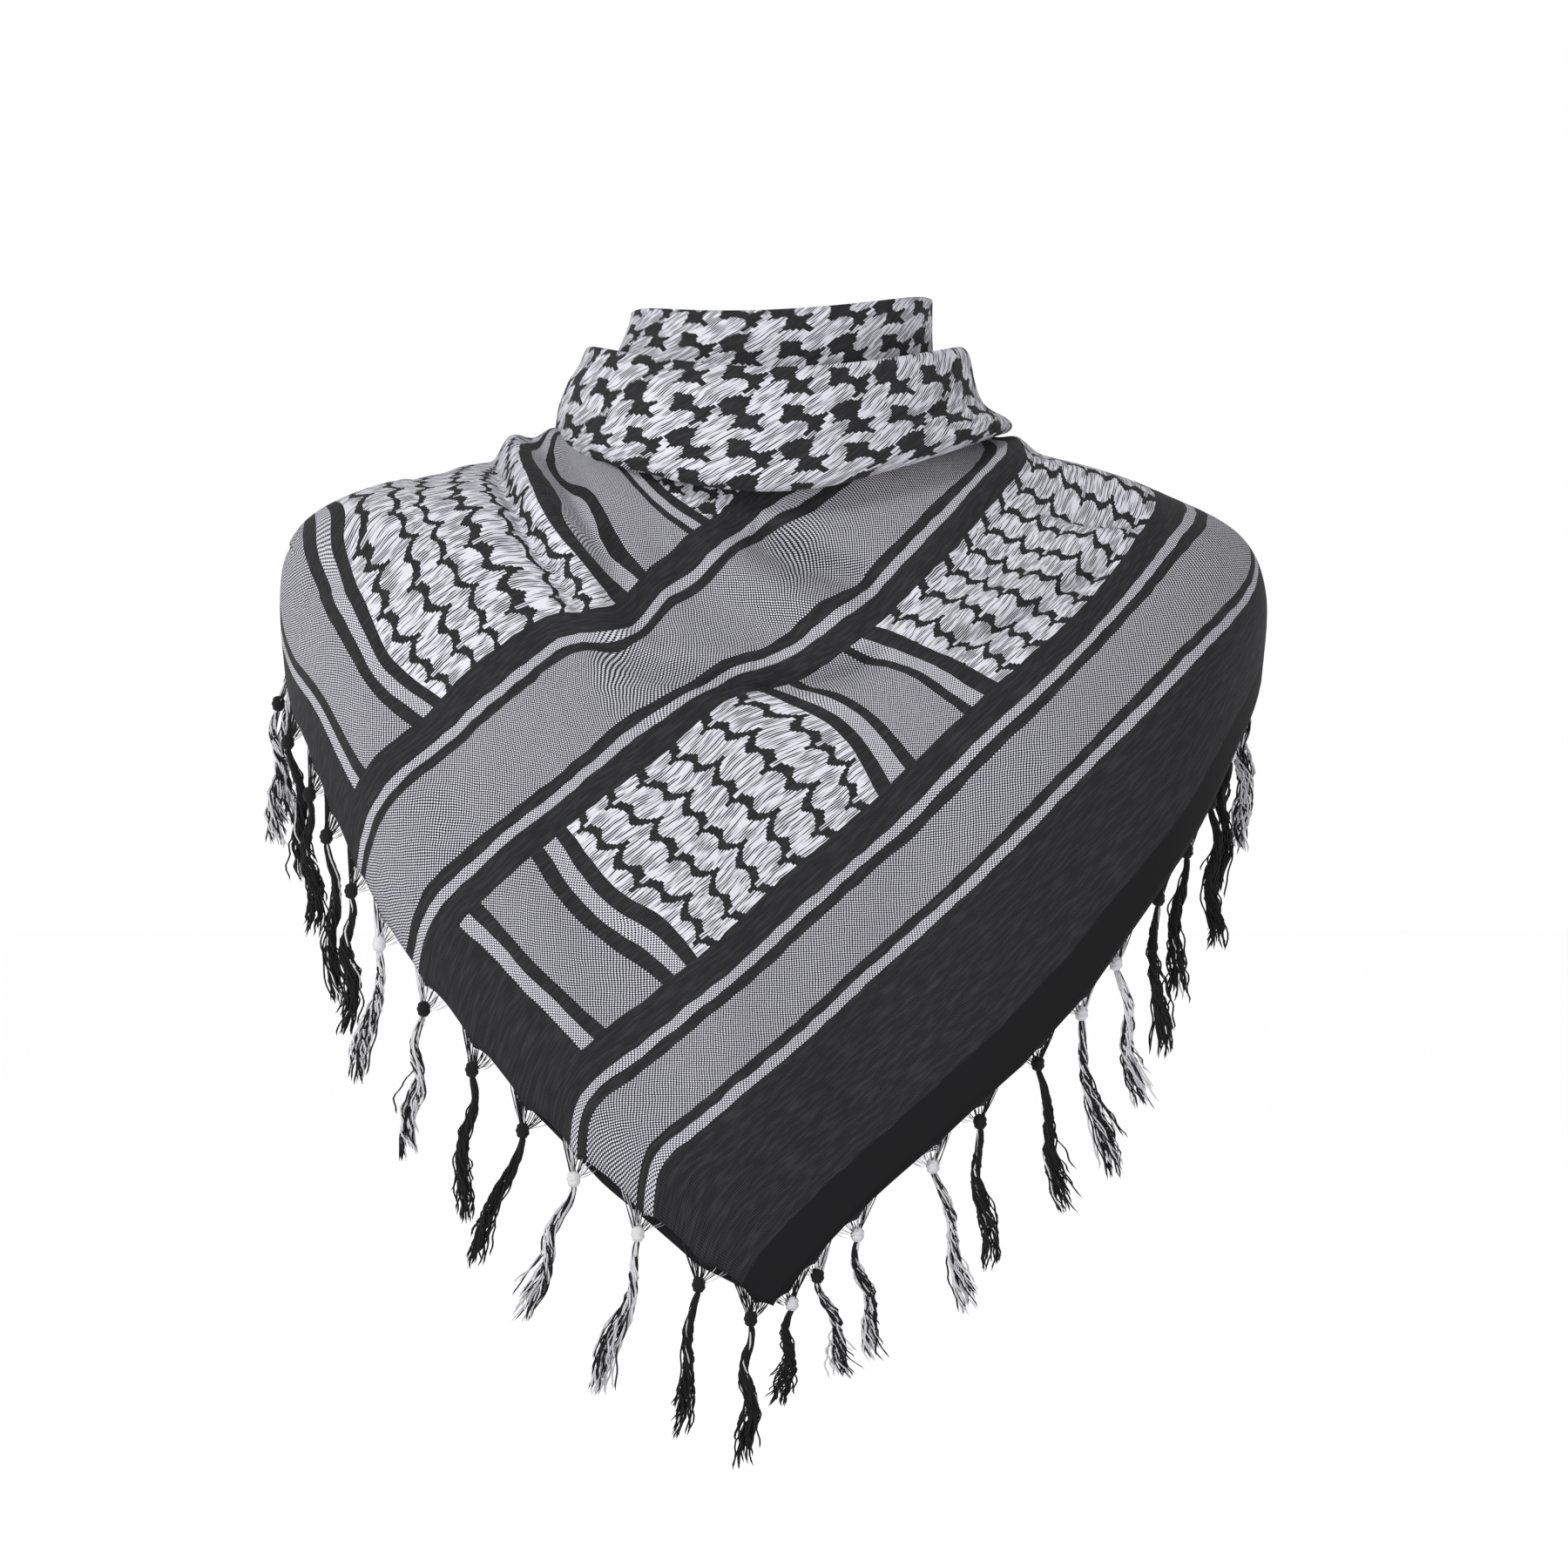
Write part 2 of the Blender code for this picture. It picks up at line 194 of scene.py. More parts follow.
def piece_mesh(name: str, points: np.ndarray, faces: list[np.ndarray]) -> bpy.types.Object:
    """A new object at the origin with these points and faces.

    Args:
        name: the object's name.
        points: n by 3, in metres.
        faces: index arrays, each m by the number of corners.

    Returns:
        The linked object, shaded smooth.
    """
    mesh = bpy.data.meshes.new(name)
    mesh.from_pydata(points.tolist(), [], [face for part in faces for face in part.tolist()])
    mesh.shade_smooth()
    obj = bpy.data.objects.new(name, mesh)
    bpy.context.scene.collection.objects.link(obj)
    return obj


def grid_faces(rows: int, columns: int) -> np.ndarray:
    """The quads of a grid whose rows run down and whose columns run to +X, facing outwards."""
    corner = np.arange(rows * columns).reshape(rows, columns)
    return np.stack(
        [corner[:-1, :-1], corner[1:, :-1], corner[1:, 1:], corner[:-1, 1:]], axis=-1
    ).reshape(-1, 4)


def write_cut(obj: bpy.types.Object, cut: np.ndarray) -> None:
    """Stores each point's place in the flat square, in metres, as the UV map Cut."""
    mesh = obj.data
    layer = mesh.uv_layers.new(name="Cut")
    corner = np.empty(len(mesh.loops), np.int32)
    mesh.loops.foreach_get("vertex_index", corner)
    layer.data.foreach_set("uv", cut.reshape(-1, 2)[corner].astype(np.float32).ravel())


def cloth_shell(
    name: str, points: np.ndarray, cut: np.ndarray, thickness: float
) -> bpy.types.Object:
    """A stretch of cloth from a grid of points, with its place in the flat square.

    Args:
        name: the piece's name.
        points: rows by columns by 3, in metres, on the cloth's outer face.
        cut: rows by columns by 2, in metres in the flat square.
        thickness: of the cloth, in metres, towards its inside.

    Returns:
        The piece, with a live Solidify.
    """
    rows, columns = points.shape[:2]
    obj = piece_mesh(name, points.reshape(-1, 3), [grid_faces(rows, columns)])
    write_cut(obj, cut)
    wall = obj.modifiers.new("Cloth thickness", "SOLIDIFY")
    wall.thickness = thickness
    wall.offset = -1
    return obj


Number = Union["Value", float]


@dataclass(frozen=True)
class Value:
    """A number in a shader tree. Arithmetic with it adds a Math node for each step."""

    tree: bpy.types.NodeTree
    socket: bpy.types.NodeSocket

    def math(self, operation: str, *others: Number) -> "Value":
        """The result of a Math node on this number and the others."""
        node = self.tree.nodes.new("ShaderNodeMath")
        node.operation = operation
        for entry, item in zip(node.inputs, (self, *others)):
            if isinstance(item, Value):
                self.tree.links.new(item.socket, entry)
            else:
                entry.default_value = item
        return Value(self.tree, node.outputs[0])

    def __add__(self, other: Number) -> "Value":
        return self.math("ADD", other)

    def __sub__(self, other: Number) -> "Value":
        return self.math("SUBTRACT", other)

    def __mul__(self, other: Number) -> "Value":
        return self.math("MULTIPLY", other)

    def __truediv__(self, other: Number) -> "Value":
        return self.math("DIVIDE", other)

    def above(self, other: Number) -> "Value":
        """1 where this number is the greater one, and otherwise 0."""
        return self.math("GREATER_THAN", other)

    def below(self, other: Number) -> "Value":
        """1 where this number is the smaller one, and otherwise 0."""
        return self.math("LESS_THAN", other)

    def inverse(self) -> "Value":
        """1 less this number."""
        return self.math("MULTIPLY_ADD", -1.0, 1.0)

    def floor(self) -> "Value":
        """The whole number below."""
        return self.math("FLOOR")

    def off_middle(self) -> "Value":
        """How far the number's fraction lies from one half, from 0 to 0.5."""
        return (self.math("FRACT") - 0.5).math("ABSOLUTE")

    def clamped(self) -> "Value":
        """The number held between 0 and 1."""
        return self.math("MAXIMUM", 0.0).math("MINIMUM", 1.0)

    def steps(self, stops: list[tuple[float, tuple]]) -> tuple["Value", "Value", "Value"]:
        """Three numbers read from a table with sharp steps.

        Args:
            stops: where each step starts, from 0 to 1, and its three numbers.

        Returns:
            The three numbers at this number's place.
        """
        node = self.tree.nodes.new("ShaderNodeValToRGB")
        node.color_ramp.interpolation = "CONSTANT"
        elements = node.color_ramp.elements
        while len(elements) < len(stops):
            elements.new(0.5)
        for element, (position, numbers) in zip(elements, stops):
            element.position = position
        for element, (position, numbers) in zip(elements, stops):
            element.color = (*numbers, 1.0)
        self.tree.links.new(self.socket, node.inputs["Fac"])
        parts = self.tree.nodes.new("ShaderNodeSeparateColor")
        self.tree.links.new(node.outputs["Color"], parts.inputs["Color"])
        return tuple(Value(self.tree, socket) for socket in parts.outputs)


class Zone(Enum):
    """The kinds of weave: share of white checks, then whether floats and stars lie there."""

    PLAIN = (0.0, 0.0, 0.0)
    GREY = (0.5, 0.0, 0.0)
    LIGHT = (1.0, 0.0, 0.0)
    RING = (0.0, 1.0, 0.0)
    CENTRE = (0.0, 1.0, 1.0)


# Where each zone starts, in mm from the selvage and from the fringed edge.
SELVAGE_ZONES = (
    (0.0, Zone.PLAIN),
    (79.0, Zone.LIGHT),
    (85.0, Zone.PLAIN),
    (91.0, Zone.GREY),
    (125.0, Zone.PLAIN),
    (131.5, Zone.LIGHT),
    (137.5, Zone.PLAIN),
    (156.0, Zone.RING),
    (250.0, Zone.PLAIN),
    (265.0, Zone.LIGHT),
    (271.0, Zone.PLAIN),
    (277.5, Zone.GREY),
    (322.5, Zone.PLAIN),
    (328.5, Zone.LIGHT),
    (334.5, Zone.PLAIN),
    (352.0, Zone.CENTRE),
)
FRINGE_ZONES = (
    (0.0, Zone.PLAIN),
    (38.0, Zone.LIGHT),
    (47.0, Zone.PLAIN),
    (56.0, Zone.GREY),
    (92.0, Zone.PLAIN),
    (100.0, Zone.LIGHT),
    (109.0, Zone.PLAIN),
    (118.0, Zone.RING),
    (251.0, Zone.PLAIN),
    (260.0, Zone.LIGHT),
    (270.0, Zone.PLAIN),
    (277.0, Zone.GREY),
    (314.0, Zone.PLAIN),
    (320.0, Zone.LIGHT),
    (329.0, Zone.PLAIN),
    (338.0, Zone.CENTRE),
)

# The dark line between two blocks of floats, thread by thread from its spur to its barb: where
# it starts and where it ends, in steps of the weave.
SCALLOP_CHART = (
    (7, 13), (5, 10), (3, 8), (2, 7), (1, 6), (0, 5), (0, 5), (1, 5), (2, 5),
    (3, 6), (3, 7), (3, 8), (3, 8), (2, 7), (2, 7), (1, 6), (0, 6), (-3, 2),
)

# The two dark stars in the same way, from head to foot, in steps from their middles.
STAR_CHART = (
    (-4, 3), (-4, 6), (-4, 8), (-5, 8), (-5, 9), (-8, 12), (-6, 10), (-5, 8),
    (-3, 7), (-2, 4), (-2, 3), (-4, 2), (-5, 2), (-8, 2), (-11, 3), (-8, 5),
    (-6, 7), (-6, 7), (-4, 2), (-4, 1), (-2, 1), (-2, 1), (-2, 1), (-2, 1),
)
SECOND_STAR_CHART = (
    (-3, 0), (-3, 1), (-4, 1), (-5, 2), (-7, 3), (-9, 4), (-9, 4), (-9, 4),
    (-8, 2), (-5, 1), (-4, 1), (-3, 2), (-3, 2), (-2, 2), (-2, 4), (-2, 6),
    (-3, 8), (-4, 8), (-8, 4), (-8, 4), (-3, 0), (-3, 0), (-1, -1), (-1, -1),
)

# The stars of one repeat, each with how far it is shifted: as a share of the pitch along the
# threads, and in threads across them.
STAR_FIELD = ((STAR_CHART, 0.0, 0), (SECOND_STAR_CHART, 0.42, 17))


def new_material(name: str) -> tuple[bpy.types.Material, bpy.types.NodeTree, bpy.types.Node]:
    """A material with its node tree and its shader node."""
    material = bpy.data.materials.new(name)
    material.use_nodes = True
    tree = material.node_tree
    return material, tree, tree.nodes["Principled BSDF"]


def flat_noise(
    tree: bpy.types.NodeTree, place: bpy.types.NodeSocket, scale: float
) -> bpy.types.Node:
    """A soft noise over a flat place."""
    noise = tree.nodes.new("ShaderNodeTexNoise")
    noise.noise_dimensions = "2D"
    noise.inputs["Scale"].default_value = scale
    noise.inputs["Detail"].default_value = 1.0
    tree.links.new(place, noise.inputs["Vector"])
    return noise


@dataclass(frozen=True)
class Cotton:
    """Black and white cotton threads, and how they shine."""

    white: tuple[float, float, float]
    roughness: float
    specular: float
    sheen: float
    black: tuple[float, float, float] = (0.010, 0.010, 0.011)

    def apply(self, tree: bpy.types.NodeTree, shader: bpy.types.Node, pale: Value) -> None:
        """Sets the shader up. Its colour goes from black to white with the share of white."""
        mix = tree.nodes.new("ShaderNodeMix")
        mix.data_type = "RGBA"
        mix.inputs["A"].default_value = (*self.black, 1.0)
        mix.inputs["B"].default_value = (*self.white, 1.0)
        tree.links.new(pale.socket, mix.inputs["Factor"])
        tree.links.new(mix.outputs["Result"], shader.inputs["Base Color"])
        shader.inputs["Roughness"].default_value = self.roughness
        shader.inputs["Specular IOR Level"].default_value = self.specular
        shader.inputs["Sheen Weight"].default_value = self.sheen


@dataclass(frozen=True)
class Woven:
    """The woven cotton of the square: plain black bands, fine checks, blocks of floats with dark
    scalloped lines, and a field of stars. Sizes are in mm of the flat square."""

    slot: str
    cotton: Cotton = Cotton((0.80, 0.80, 0.87), roughness=0.9, specular=0.1, sheen=0.04)
    sheen_roughness: float = 0.6
    # the float threads, the steps of the weave along them, and the repeat in threads
    thread: float = 1.13
    step: float = 1.15
    repeat: int = 36
    # the scalloped lines, each charted from a little before its place, and the stars
    line_pitch: float = 22.3
    line_start: float = 124.0
    line_lead: float = 5.0
    star_pitch: float = 34.5
    star_start: float = 330.0
    chart_reach: float = 16.0
    table_reach: float = 360.0
    # how far a slow noise moves the threads, along them and across them
    move_along: float = 1.2
    move_across: float = 2.0
    move_size: float = 14.0
    # the dark gaps between the floats, which are partly the black ground and partly painted shade
    # that darkens each float towards its sides: where the darkening starts, how sharp it is, and
    # how open it is, by a noise that is drawn out along the threads
    gap_and_shade_start: float = 0.06
    gap_and_shade_slope: float = 4.0
    streak: tuple[float, float] = (14.0, 1.7)
    streak_middle: float = 0.49
    streak_contrast: float = 6.0
    least_gap_and_shade: float = 0.20
    # the white dashes of the checks, as shares of their pitch
    check_length: float = 1.85
    check_width: float = 0.93
    dash_length: float = 0.135
    light_dash_more: float = 0.155
    dash_width: float = 0.40
    least_checks: float = 0.1
    # the faint rib and slubs of the plain black cloth, which its selvage hasn't
    selvage_width: float = 21.0
    rib_pitch: float = 1.0
    rib_share: float = 0.05
    slub_from: float = 0.40
    slub_share: float = 0.05
    relief: float = 0.35 * MM
    relief_strength: float = 0.6

    def zones(self, place: Value, table: tuple) -> tuple[Value, Value, Value]:
        """The zone numbers at a distance from an edge."""
        stops = [(start / self.table_reach, zone.value) for start, zone in table]
        return (place / self.table_reach).steps(stops)

    def chart(self, row: Value, across: Value, table: tuple, rows: int) -> Value:
        """1 inside the spans of a chart.

        Args:
            row: from 0 to 1 over all the rows of the repeat.
            across: the place along the threads, in steps.
            table: the spans, one for each row that has one.
            rows: how many rows the repeat has.

        Returns:
            1 inside and 0 outside.
        """
        width = 2 * self.chart_reach
        stops = [
            (index / rows, (low / width + 0.5, high / width + 0.5, 0.0))
            for index, (low, high) in enumerate(table)
        ]
        if len(table) < rows:
            stops.append((len(table) / rows, (0.5, 0.5, 0.0)))
        low, high, _ = row.steps(stops)
        place = across / width + 0.5
        return place.above(low) * place.below(high)

    def scallops(self, fringe: Value, selvage: Value) -> Value:
        """1 on the dark lines between the blocks of floats."""
        turn = (selvage / (self.repeat * self.thread)).off_middle() * 2.0
        across = (fringe - (self.line_start - self.line_lead)) / self.line_pitch
        across = across.math("FRACT") * (self.line_pitch / self.step) - self.line_lead / self.step
        return self.chart(turn, across, SCALLOP_CHART, len(SCALLOP_CHART))

    def stars(self, fringe: Value, selvage: Value) -> Value:
        """1 on the dark stars, of which the second ones stand between the first. They are counted
        across the whole square, from one fringed edge and one selvage."""
        found = []
        for table, aside, threads in STAR_FIELD:
            row = selvage * (-1.0 / (self.repeat * self.thread)) + threads / self.repeat
            across = ((fringe - self.star_start) / self.star_pitch + aside).math("FRACT") - 0.5
            across = across * (self.star_pitch / self.step)
            found.append(self.chart(row.math("FRACT"), across, table, self.repeat))
        return found[0].math("MAXIMUM", found[1])

    def places(self, tree: bpy.types.NodeTree) -> tuple[list[Value], list[Value]]:
        """A point's place in the flat square, moved a little by a slow noise.

        Args:
            tree: the material's nodes.

        Returns:
            Its distances in mm from one fringed edge and one selvage, and then from the nearer
            one of each pair of edges.
        """
        plan = tree.nodes.new("ShaderNodeUVMap")
        plan.uv_map = "Cut"
        noise = flat_noise(tree, plan.outputs["UV"], 1.0 / (self.move_size * MM))
        parts = tree.nodes.new("ShaderNodeSeparateXYZ")
        tree.links.new(plan.outputs["UV"], parts.inputs["Vector"])
        swing = tree.nodes.new("ShaderNodeSeparateColor")
        tree.links.new(noise.outputs["Color"], swing.inputs["Color"])
        half = CUT_SIDE / 2
        whole, nearer = [], []
        for axis, channel, reach in (
            ("X", "Red", self.move_along), ("Y", "Green", self.move_across)
        ):
            place = Value(tree, parts.outputs[axis]) * (1 / MM)
            place = place + (Value(tree, swing.outputs[channel]) - 0.5) * reach
            whole.append(place)
            nearer.append((place - half).math("ABSOLUTE").math("MULTIPLY_ADD", -1.0, half))
        return whole, nearer

    def streaks(self, tree: bpy.types.NodeTree, whole: list[Value]) -> Value:
        """Noise that is drawn out along the floats, where they bunch and leave gaps of black
        ground, with painted shade on the threads' sides.
        """
        place = tree.nodes.new("ShaderNodeCombineXYZ")
        for value, length, entry in zip(whole, self.streak, place.inputs):
            tree.links.new((value / length).socket, entry)
        return Value(tree, flat_noise(tree, place.outputs["Vector"], 1.0).outputs["Fac"])

    def floats(self, selvage: Value, streaks: Value) -> Value:
        """The share of white in the floats: threads with dark gaps between them, which are partly
        the black ground and partly painted shade on the sides of each thread.
        """
        ridge = (selvage / self.thread).off_middle()
        opened_and_shaded = ((streaks - self.streak_middle) * self.streak_contrast + 0.5).clamped()
        # painted shade: each float is darkened towards its sides, by at least a fifth even where
        # the floats bunch, besides the black ground that shows between them
        gap_and_shade = ((ridge - self.gap_and_shade_start) * self.gap_and_shade_slope).clamped()
        return (gap_and_shade * (opened_and_shaded * (1 - self.least_gap_and_shade) + self.least_gap_and_shade)).inverse()

    def checks(self, fringe: Value, selvage: Value, share: Value) -> Value:
        """1 on the dashes of the checks, of which every second line is shifted by half."""
        line = (selvage / self.check_width).floor()
        dash = (fringe / self.check_length + line * 0.5).off_middle()
        side = (selvage / self.check_width).off_middle()
        inside = dash.below(share * self.light_dash_more + self.dash_length)
        return inside * side.below(self.dash_width) * share.above(self.least_checks)

    def plain(self, fringe: Value, selvage: Value, streaks: Value) -> Value:
        """The faint share of white in the plain black cloth."""
        rib = (fringe / self.rib_pitch).off_middle() * (selvage / self.rib_pitch).off_middle()
        slubs = (streaks - self.slub_from).clamped() * self.slub_share
        faint = rib * (4 * self.rib_share) + slubs
        return faint * (selvage - self.selvage_width).above(0.0)

    def material(self) -> bpy.types.Material:
        """Makes the material. White threads lie where a zone's checks or floats are."""
        material, tree, shader = new_material(self.slot)
        whole, (fringe, selvage) = self.places(tree)
        on_thread = ((selvage / self.thread).floor() + 0.5) * self.thread
        whole_thread = ((whole[1] / self.thread).floor() + 0.5) * self.thread
        fringe_checks, fringe_floats, fringe_stars = self.zones(fringe, FRINGE_ZONES)
        selvage_checks, selvage_floats, selvage_stars = self.zones(on_thread, SELVAGE_ZONES)
        starred = fringe_stars * selvage_stars
        dark = self.stars(whole[0], whole_thread) * starred
        dark = dark + self.scallops(fringe, on_thread) * starred.inverse()
        streaks = self.streaks(tree, whole)
        floats = self.floats(selvage, streaks) * fringe_floats * selvage_floats * dark.inverse()
        share = selvage_checks + selvage_floats * fringe_checks
        pale = floats + self.checks(fringe, selvage, share) + self.plain(fringe, selvage, streaks)
        self.cotton.apply(tree, shader, pale)
        shader.inputs["Sheen Roughness"].default_value = self.sheen_roughness
        bump = tree.nodes.new("ShaderNodeBump")
        bump.inputs["Strength"].default_value = self.relief_strength
        bump.inputs["Distance"].default_value = self.relief
        tree.links.new(pale.socket, bump.inputs["Height"])
        tree.links.new(bump.outputs["Normal"], shader.inputs["Normal"])
        return material


@dataclass(frozen=True)
class Threadwork:
    """The finish of knots and loose threads: black cotton, with white where Pale is 1."""

    slot: str
    cotton: Cotton = Cotton((0.70, 0.70, 0.73), roughness=0.85, specular=0.2, sheen=0.05)
    twist: float = 0.9 * MM
    twist_contrast: float = 0.5
    twist_least: float = 0.7

    def material(self) -> bpy.types.Material:
        """Makes the material, with a fine twist along the threads."""
        material, tree, shader = new_material(self.slot)
        pale = tree.nodes.new("ShaderNodeAttribute")
        pale.attribute_name = "Pale"
        place = tree.nodes.new("ShaderNodeTexCoord")
        noise = tree.nodes.new("ShaderNodeTexNoise")
        noise.inputs["Scale"].default_value = 1.0 / self.twist
        tree.links.new(place.outputs["Object"], noise.inputs["Vector"])
        twist = Value(tree, noise.outputs["Fac"]) * self.twist_contrast + self.twist_least
        self.cotton.apply(tree, shader, (Value(tree, pale.outputs["Fac"]) * twist).clamped())
        return material


SHAWL_RINGS = (
    Ring(98, 84, 86, 22, -2, 14),
    Ring(128, 96, 100, 6, -34, -2),
    Ring(172, 112, 114, -8, -78, -22),
    Ring(222, 128, 124, -24, -125, -46),
    Ring(256, 140, 130, -44, -172, -72),
    Ring(269, 149, 134, -74, -225, -100),
    Ring(267, 155, 136, -118, -290, -140),
    Ring(258, 157, 138, -190, -370, -210),
    Ring(250, 155, 138, -280, -470, -300),
)

MAIN_FOLDS = (
    # the round fold that comes down from the left shoulder, between its two creases
    Fold(-144, 10, -120, -40, -92, -86, 10, 15),
    Fold(-152, -6, -134, -44, -104, -88, 4, -8),
    Fold(-122, 0, -108, -18, -84, -60, 8, -11),
    Fold(-136, 16, -126, 12, -114, 6, 8, 8),
    Fold(-170, -6, -158, -40, -136, -72, 9, 3),
    # the waves at its foot, and the line where the cloth sags over the chest
    Fold(-88, -82, -74, -100, -52, -108, 6, -4),
    Fold(-117, -84, -70, -112, -8, -117, 9, 8),
    Fold(-96, -104, -60, -126, -4, -126, 5, -7),
    Fold(-60, -92, -20, -108, 30, -112, 12, 4),
    Fold(-8, -124, 26, -128, 58, -110, 5, -9),
    Fold(20, -112, 56, -102, 100, -88, 9, 7),
    Fold(40, -134, 90, -118, 120, -104, 8, 4),
    # the dark hollow under the roll
    Fold(-14, -42, 16, -58, 50, -68, 9, -14),
    Fold(-30, -60, 6, -84, 50, -94, 13, 9),
    Fold(-70, -40, -50, -58, -40, -80, 9, -3),
    # the creases of the right shoulder
    Fold(137, 14, 112, -32, 70, -78, 10, 9),
    Fold(93, -104, 122, -96, 147, -80, 5, -8),
    Fold(98, -90, 128, -82, 160, -60, 7, 7),
    Fold(150, -75, 170, -66, 186, -56, 5, -8),
    Fold(150, -52, 168, -50, 196, -42, 6, 6),
    Fold(146, -28, 170, -34, 200, -40, 5, -7),
    Fold(145, -8, 176, -16, 205, -26, 7, 7),
    Fold(110, -70, 126, -62, 142, -44, 6, -4),
    # long soft folds down the sides and the front
    Fold(-232, -70, -214, -150, -190, -240, 26, 5),
    Fold(-200, -110, -180, -190, -150, -260, 20, -4),
    Fold(232, -80, 216, -150, 196, -220, 26, 4),
    Fold(196, -120, 180, -200, 140, -270, 22, -4),
    Fold(-60, -220, -30, -300, 0, -380, 30, 6),
    Fold(-120, -200, -96, -270, -60, -330, 22, -6),
    Fold(80, -200, 70, -280, 40, -350, 24, -6),
    Fold(-262, -52, -244, -30, -196, -14, 20, 7),
    Fold(-256, -84, -230, -52, -190, -36, 10, -4),
)

# The folds behind, in the same frame: they run from both shoulders round to the nape.
BACK_FOLDS = (
    Fold(-232, -90, -150, -70, -60, -34, 12, 5),
    Fold(-210, -60, -130, -44, -50, -14, 9, -5),
    Fold(-180, -34, -110, -20, -40, 2, 10, 5),
    Fold(-244, -104, -190, -96, -120, -66, 8, -4),
    Fold(236, -92, 150, -64, 50, -30, 13, 5),
    Fold(216, -56, 140, -42, 40, -10, 9, -5),
    Fold(186, -30, 120, -18, 50, 4, 10, 5),
    Fold(246, -108, 196, -92, 130, -62, 8, -4),
)

# How high the outer hem hangs on each side, in mm, at azimuths in degrees from the corner.
HEM = np.array(
    (
        # azimuth left right
        (0, -456, -456),
        (15, -428, -411),
        (32, -385, -366),
        (44, -347, -329),
        (54, -303, -289),
        (62, -265, -246),
        (70, -212, -203),
        (78, -157, -156),
        (86, -126, -126),
        (96, -110, -110),
        (110, -96, -96),
        (126, -81, -81),
        (142, -64, -64),
        (158, -45, -45),
        (176, -20, -20),
        (190, 2, 2),
    ),
    float,
)

# How much lower the under layer's hem hangs than the outer one, in mm: azimuths, then drops.
UNDER_HEM = (
    (-190, -60, -45, -30, -14, -4, 0, 190),
    (0, 0, 3, 7, 7, 2, -1, -1),
)

# How high a fold is at its ends, as a share of its middle, and how bluntly it rises from there.
FOLD_END = 0.4
FOLD_POWER = 0.5


def fold_lift(points: np.ndarray, folds: tuple[Fold, ...], bow_points: int = 25) -> np.ndarray:
    """How far folds lift the cloth. Each is a bell exp(-(d/w)^2) of the distance d to its bow in
    the front view, lower towards the bow's ends.

    Args:
        points: points without their folds, in metres.
        folds: the folds.
        bow_points: how many points each bow is read at.

    Returns:
        The lift in metres, one for each point.
    """
    total = np.zeros(points.shape[:-1])
    share = np.linspace(0, 1, bow_points)
    for fold in folds:
        first, second, third = (1 - share) ** 2, 2 * share * (1 - share), share**2
        bow_x = (first * fold.x0 + second * fold.x1 + third * fold.x2) * MM
        bow_z = (first * fold.z0 + second * fold.z1 + third * fold.z2) * MM
        away = np.hypot(points[..., 0, None] - bow_x, points[..., 2, None] - bow_z)
        middle = np.sin(np.pi * share[away.argmin(axis=-1)]) ** FOLD_POWER
        fade = FOLD_END + (1 - FOLD_END) * middle
        total += fold.height * MM * fade * np.exp(-((away.min(axis=-1) / (fold.width * MM)) ** 2))
    return total


# The tassels that hang in front, in mm: how far along the hem from the corner each one hangs,
# its length below the knot, how far its end leans to +X, its threads and those of its knot.
TASSELS = (
    # side       along length lean threads        knot
    (Side.LEFT, 12, 74, 0, Threads.BLACK, Threads.BLACK),
    (Side.LEFT, 46, 76, -10, Threads.BLACK, Threads.BLACK),
    (Side.LEFT, 89, 80, -22, Threads.MIXED, Threads.WHITE),
    (Side.LEFT, 135, 70, -24, Threads.MIXED, Threads.WHITE),
    (Side.LEFT, 174, 68, -23, Threads.BLACK, Threads.BLACK),
    (Side.LEFT, 218, 76, -6, Threads.BLACK, Threads.BLACK),
    (Side.LEFT, 262, 75, -6, Threads.MIXED, Threads.MIXED),
    (Side.LEFT, 307, 70, -12, Threads.MIXED, Threads.WHITE),
    (Side.LEFT, 342, 72, 0, Threads.BLACK, Threads.MIXED),
    (Side.LEFT, 378, 84, 3, Threads.BLACK, Threads.BLACK),
    (Side.LEFT, 406, 72, 4, Threads.BLACK, Threads.BLACK),
    (Side.LEFT, 447, 70, 8, Threads.BLACK, Threads.BLACK),
    (Side.RIGHT, 13, 50, -5, Threads.BLACK, Threads.BLACK),
    (Side.RIGHT, 34, 50, 14, Threads.MIXED, Threads.BLACK),
    (Side.RIGHT, 66, 62, 11, Threads.MIXED, Threads.WHITE),
    (Side.RIGHT, 122, 74, 18, Threads.MIXED, Threads.MIXED),
    (Side.RIGHT, 158, 74, 7, Threads.BLACK, Threads.BLACK),
    (Side.RIGHT, 204, 74, 15, Threads.BLACK, Threads.BLACK),
    (Side.RIGHT, 242, 82, 18, Threads.MIXED, Threads.WHITE),
    (Side.RIGHT, 277, 72, 11, Threads.MIXED, Threads.WHITE),
    (Side.RIGHT, 322, 80, 3, Threads.BLACK, Threads.BLACK),
    (Side.RIGHT, 356, 76, -6, Threads.BLACK, Threads.BLACK),
    (Side.RIGHT, 390, 74, -1, Threads.BLACK, Threads.BLACK),
    (Side.RIGHT, 424, 72, -2, Threads.BLACK, Threads.BLACK),
)

# How many tassels hang behind on each side, and how far apart, in mm.
TASSELS_BEHIND = 8
TASSEL_PITCH = 42.0


def knot_places(side: Side) -> list[float]:
    """How far along the hem from the corner each tassel of a side hangs, in mm."""
    places = [row[1] for row in TASSELS if row[0] is side]
    return places + [places[-1] + TASSEL_PITCH * (step + 1) for step in range(TASSELS_BEHIND)]


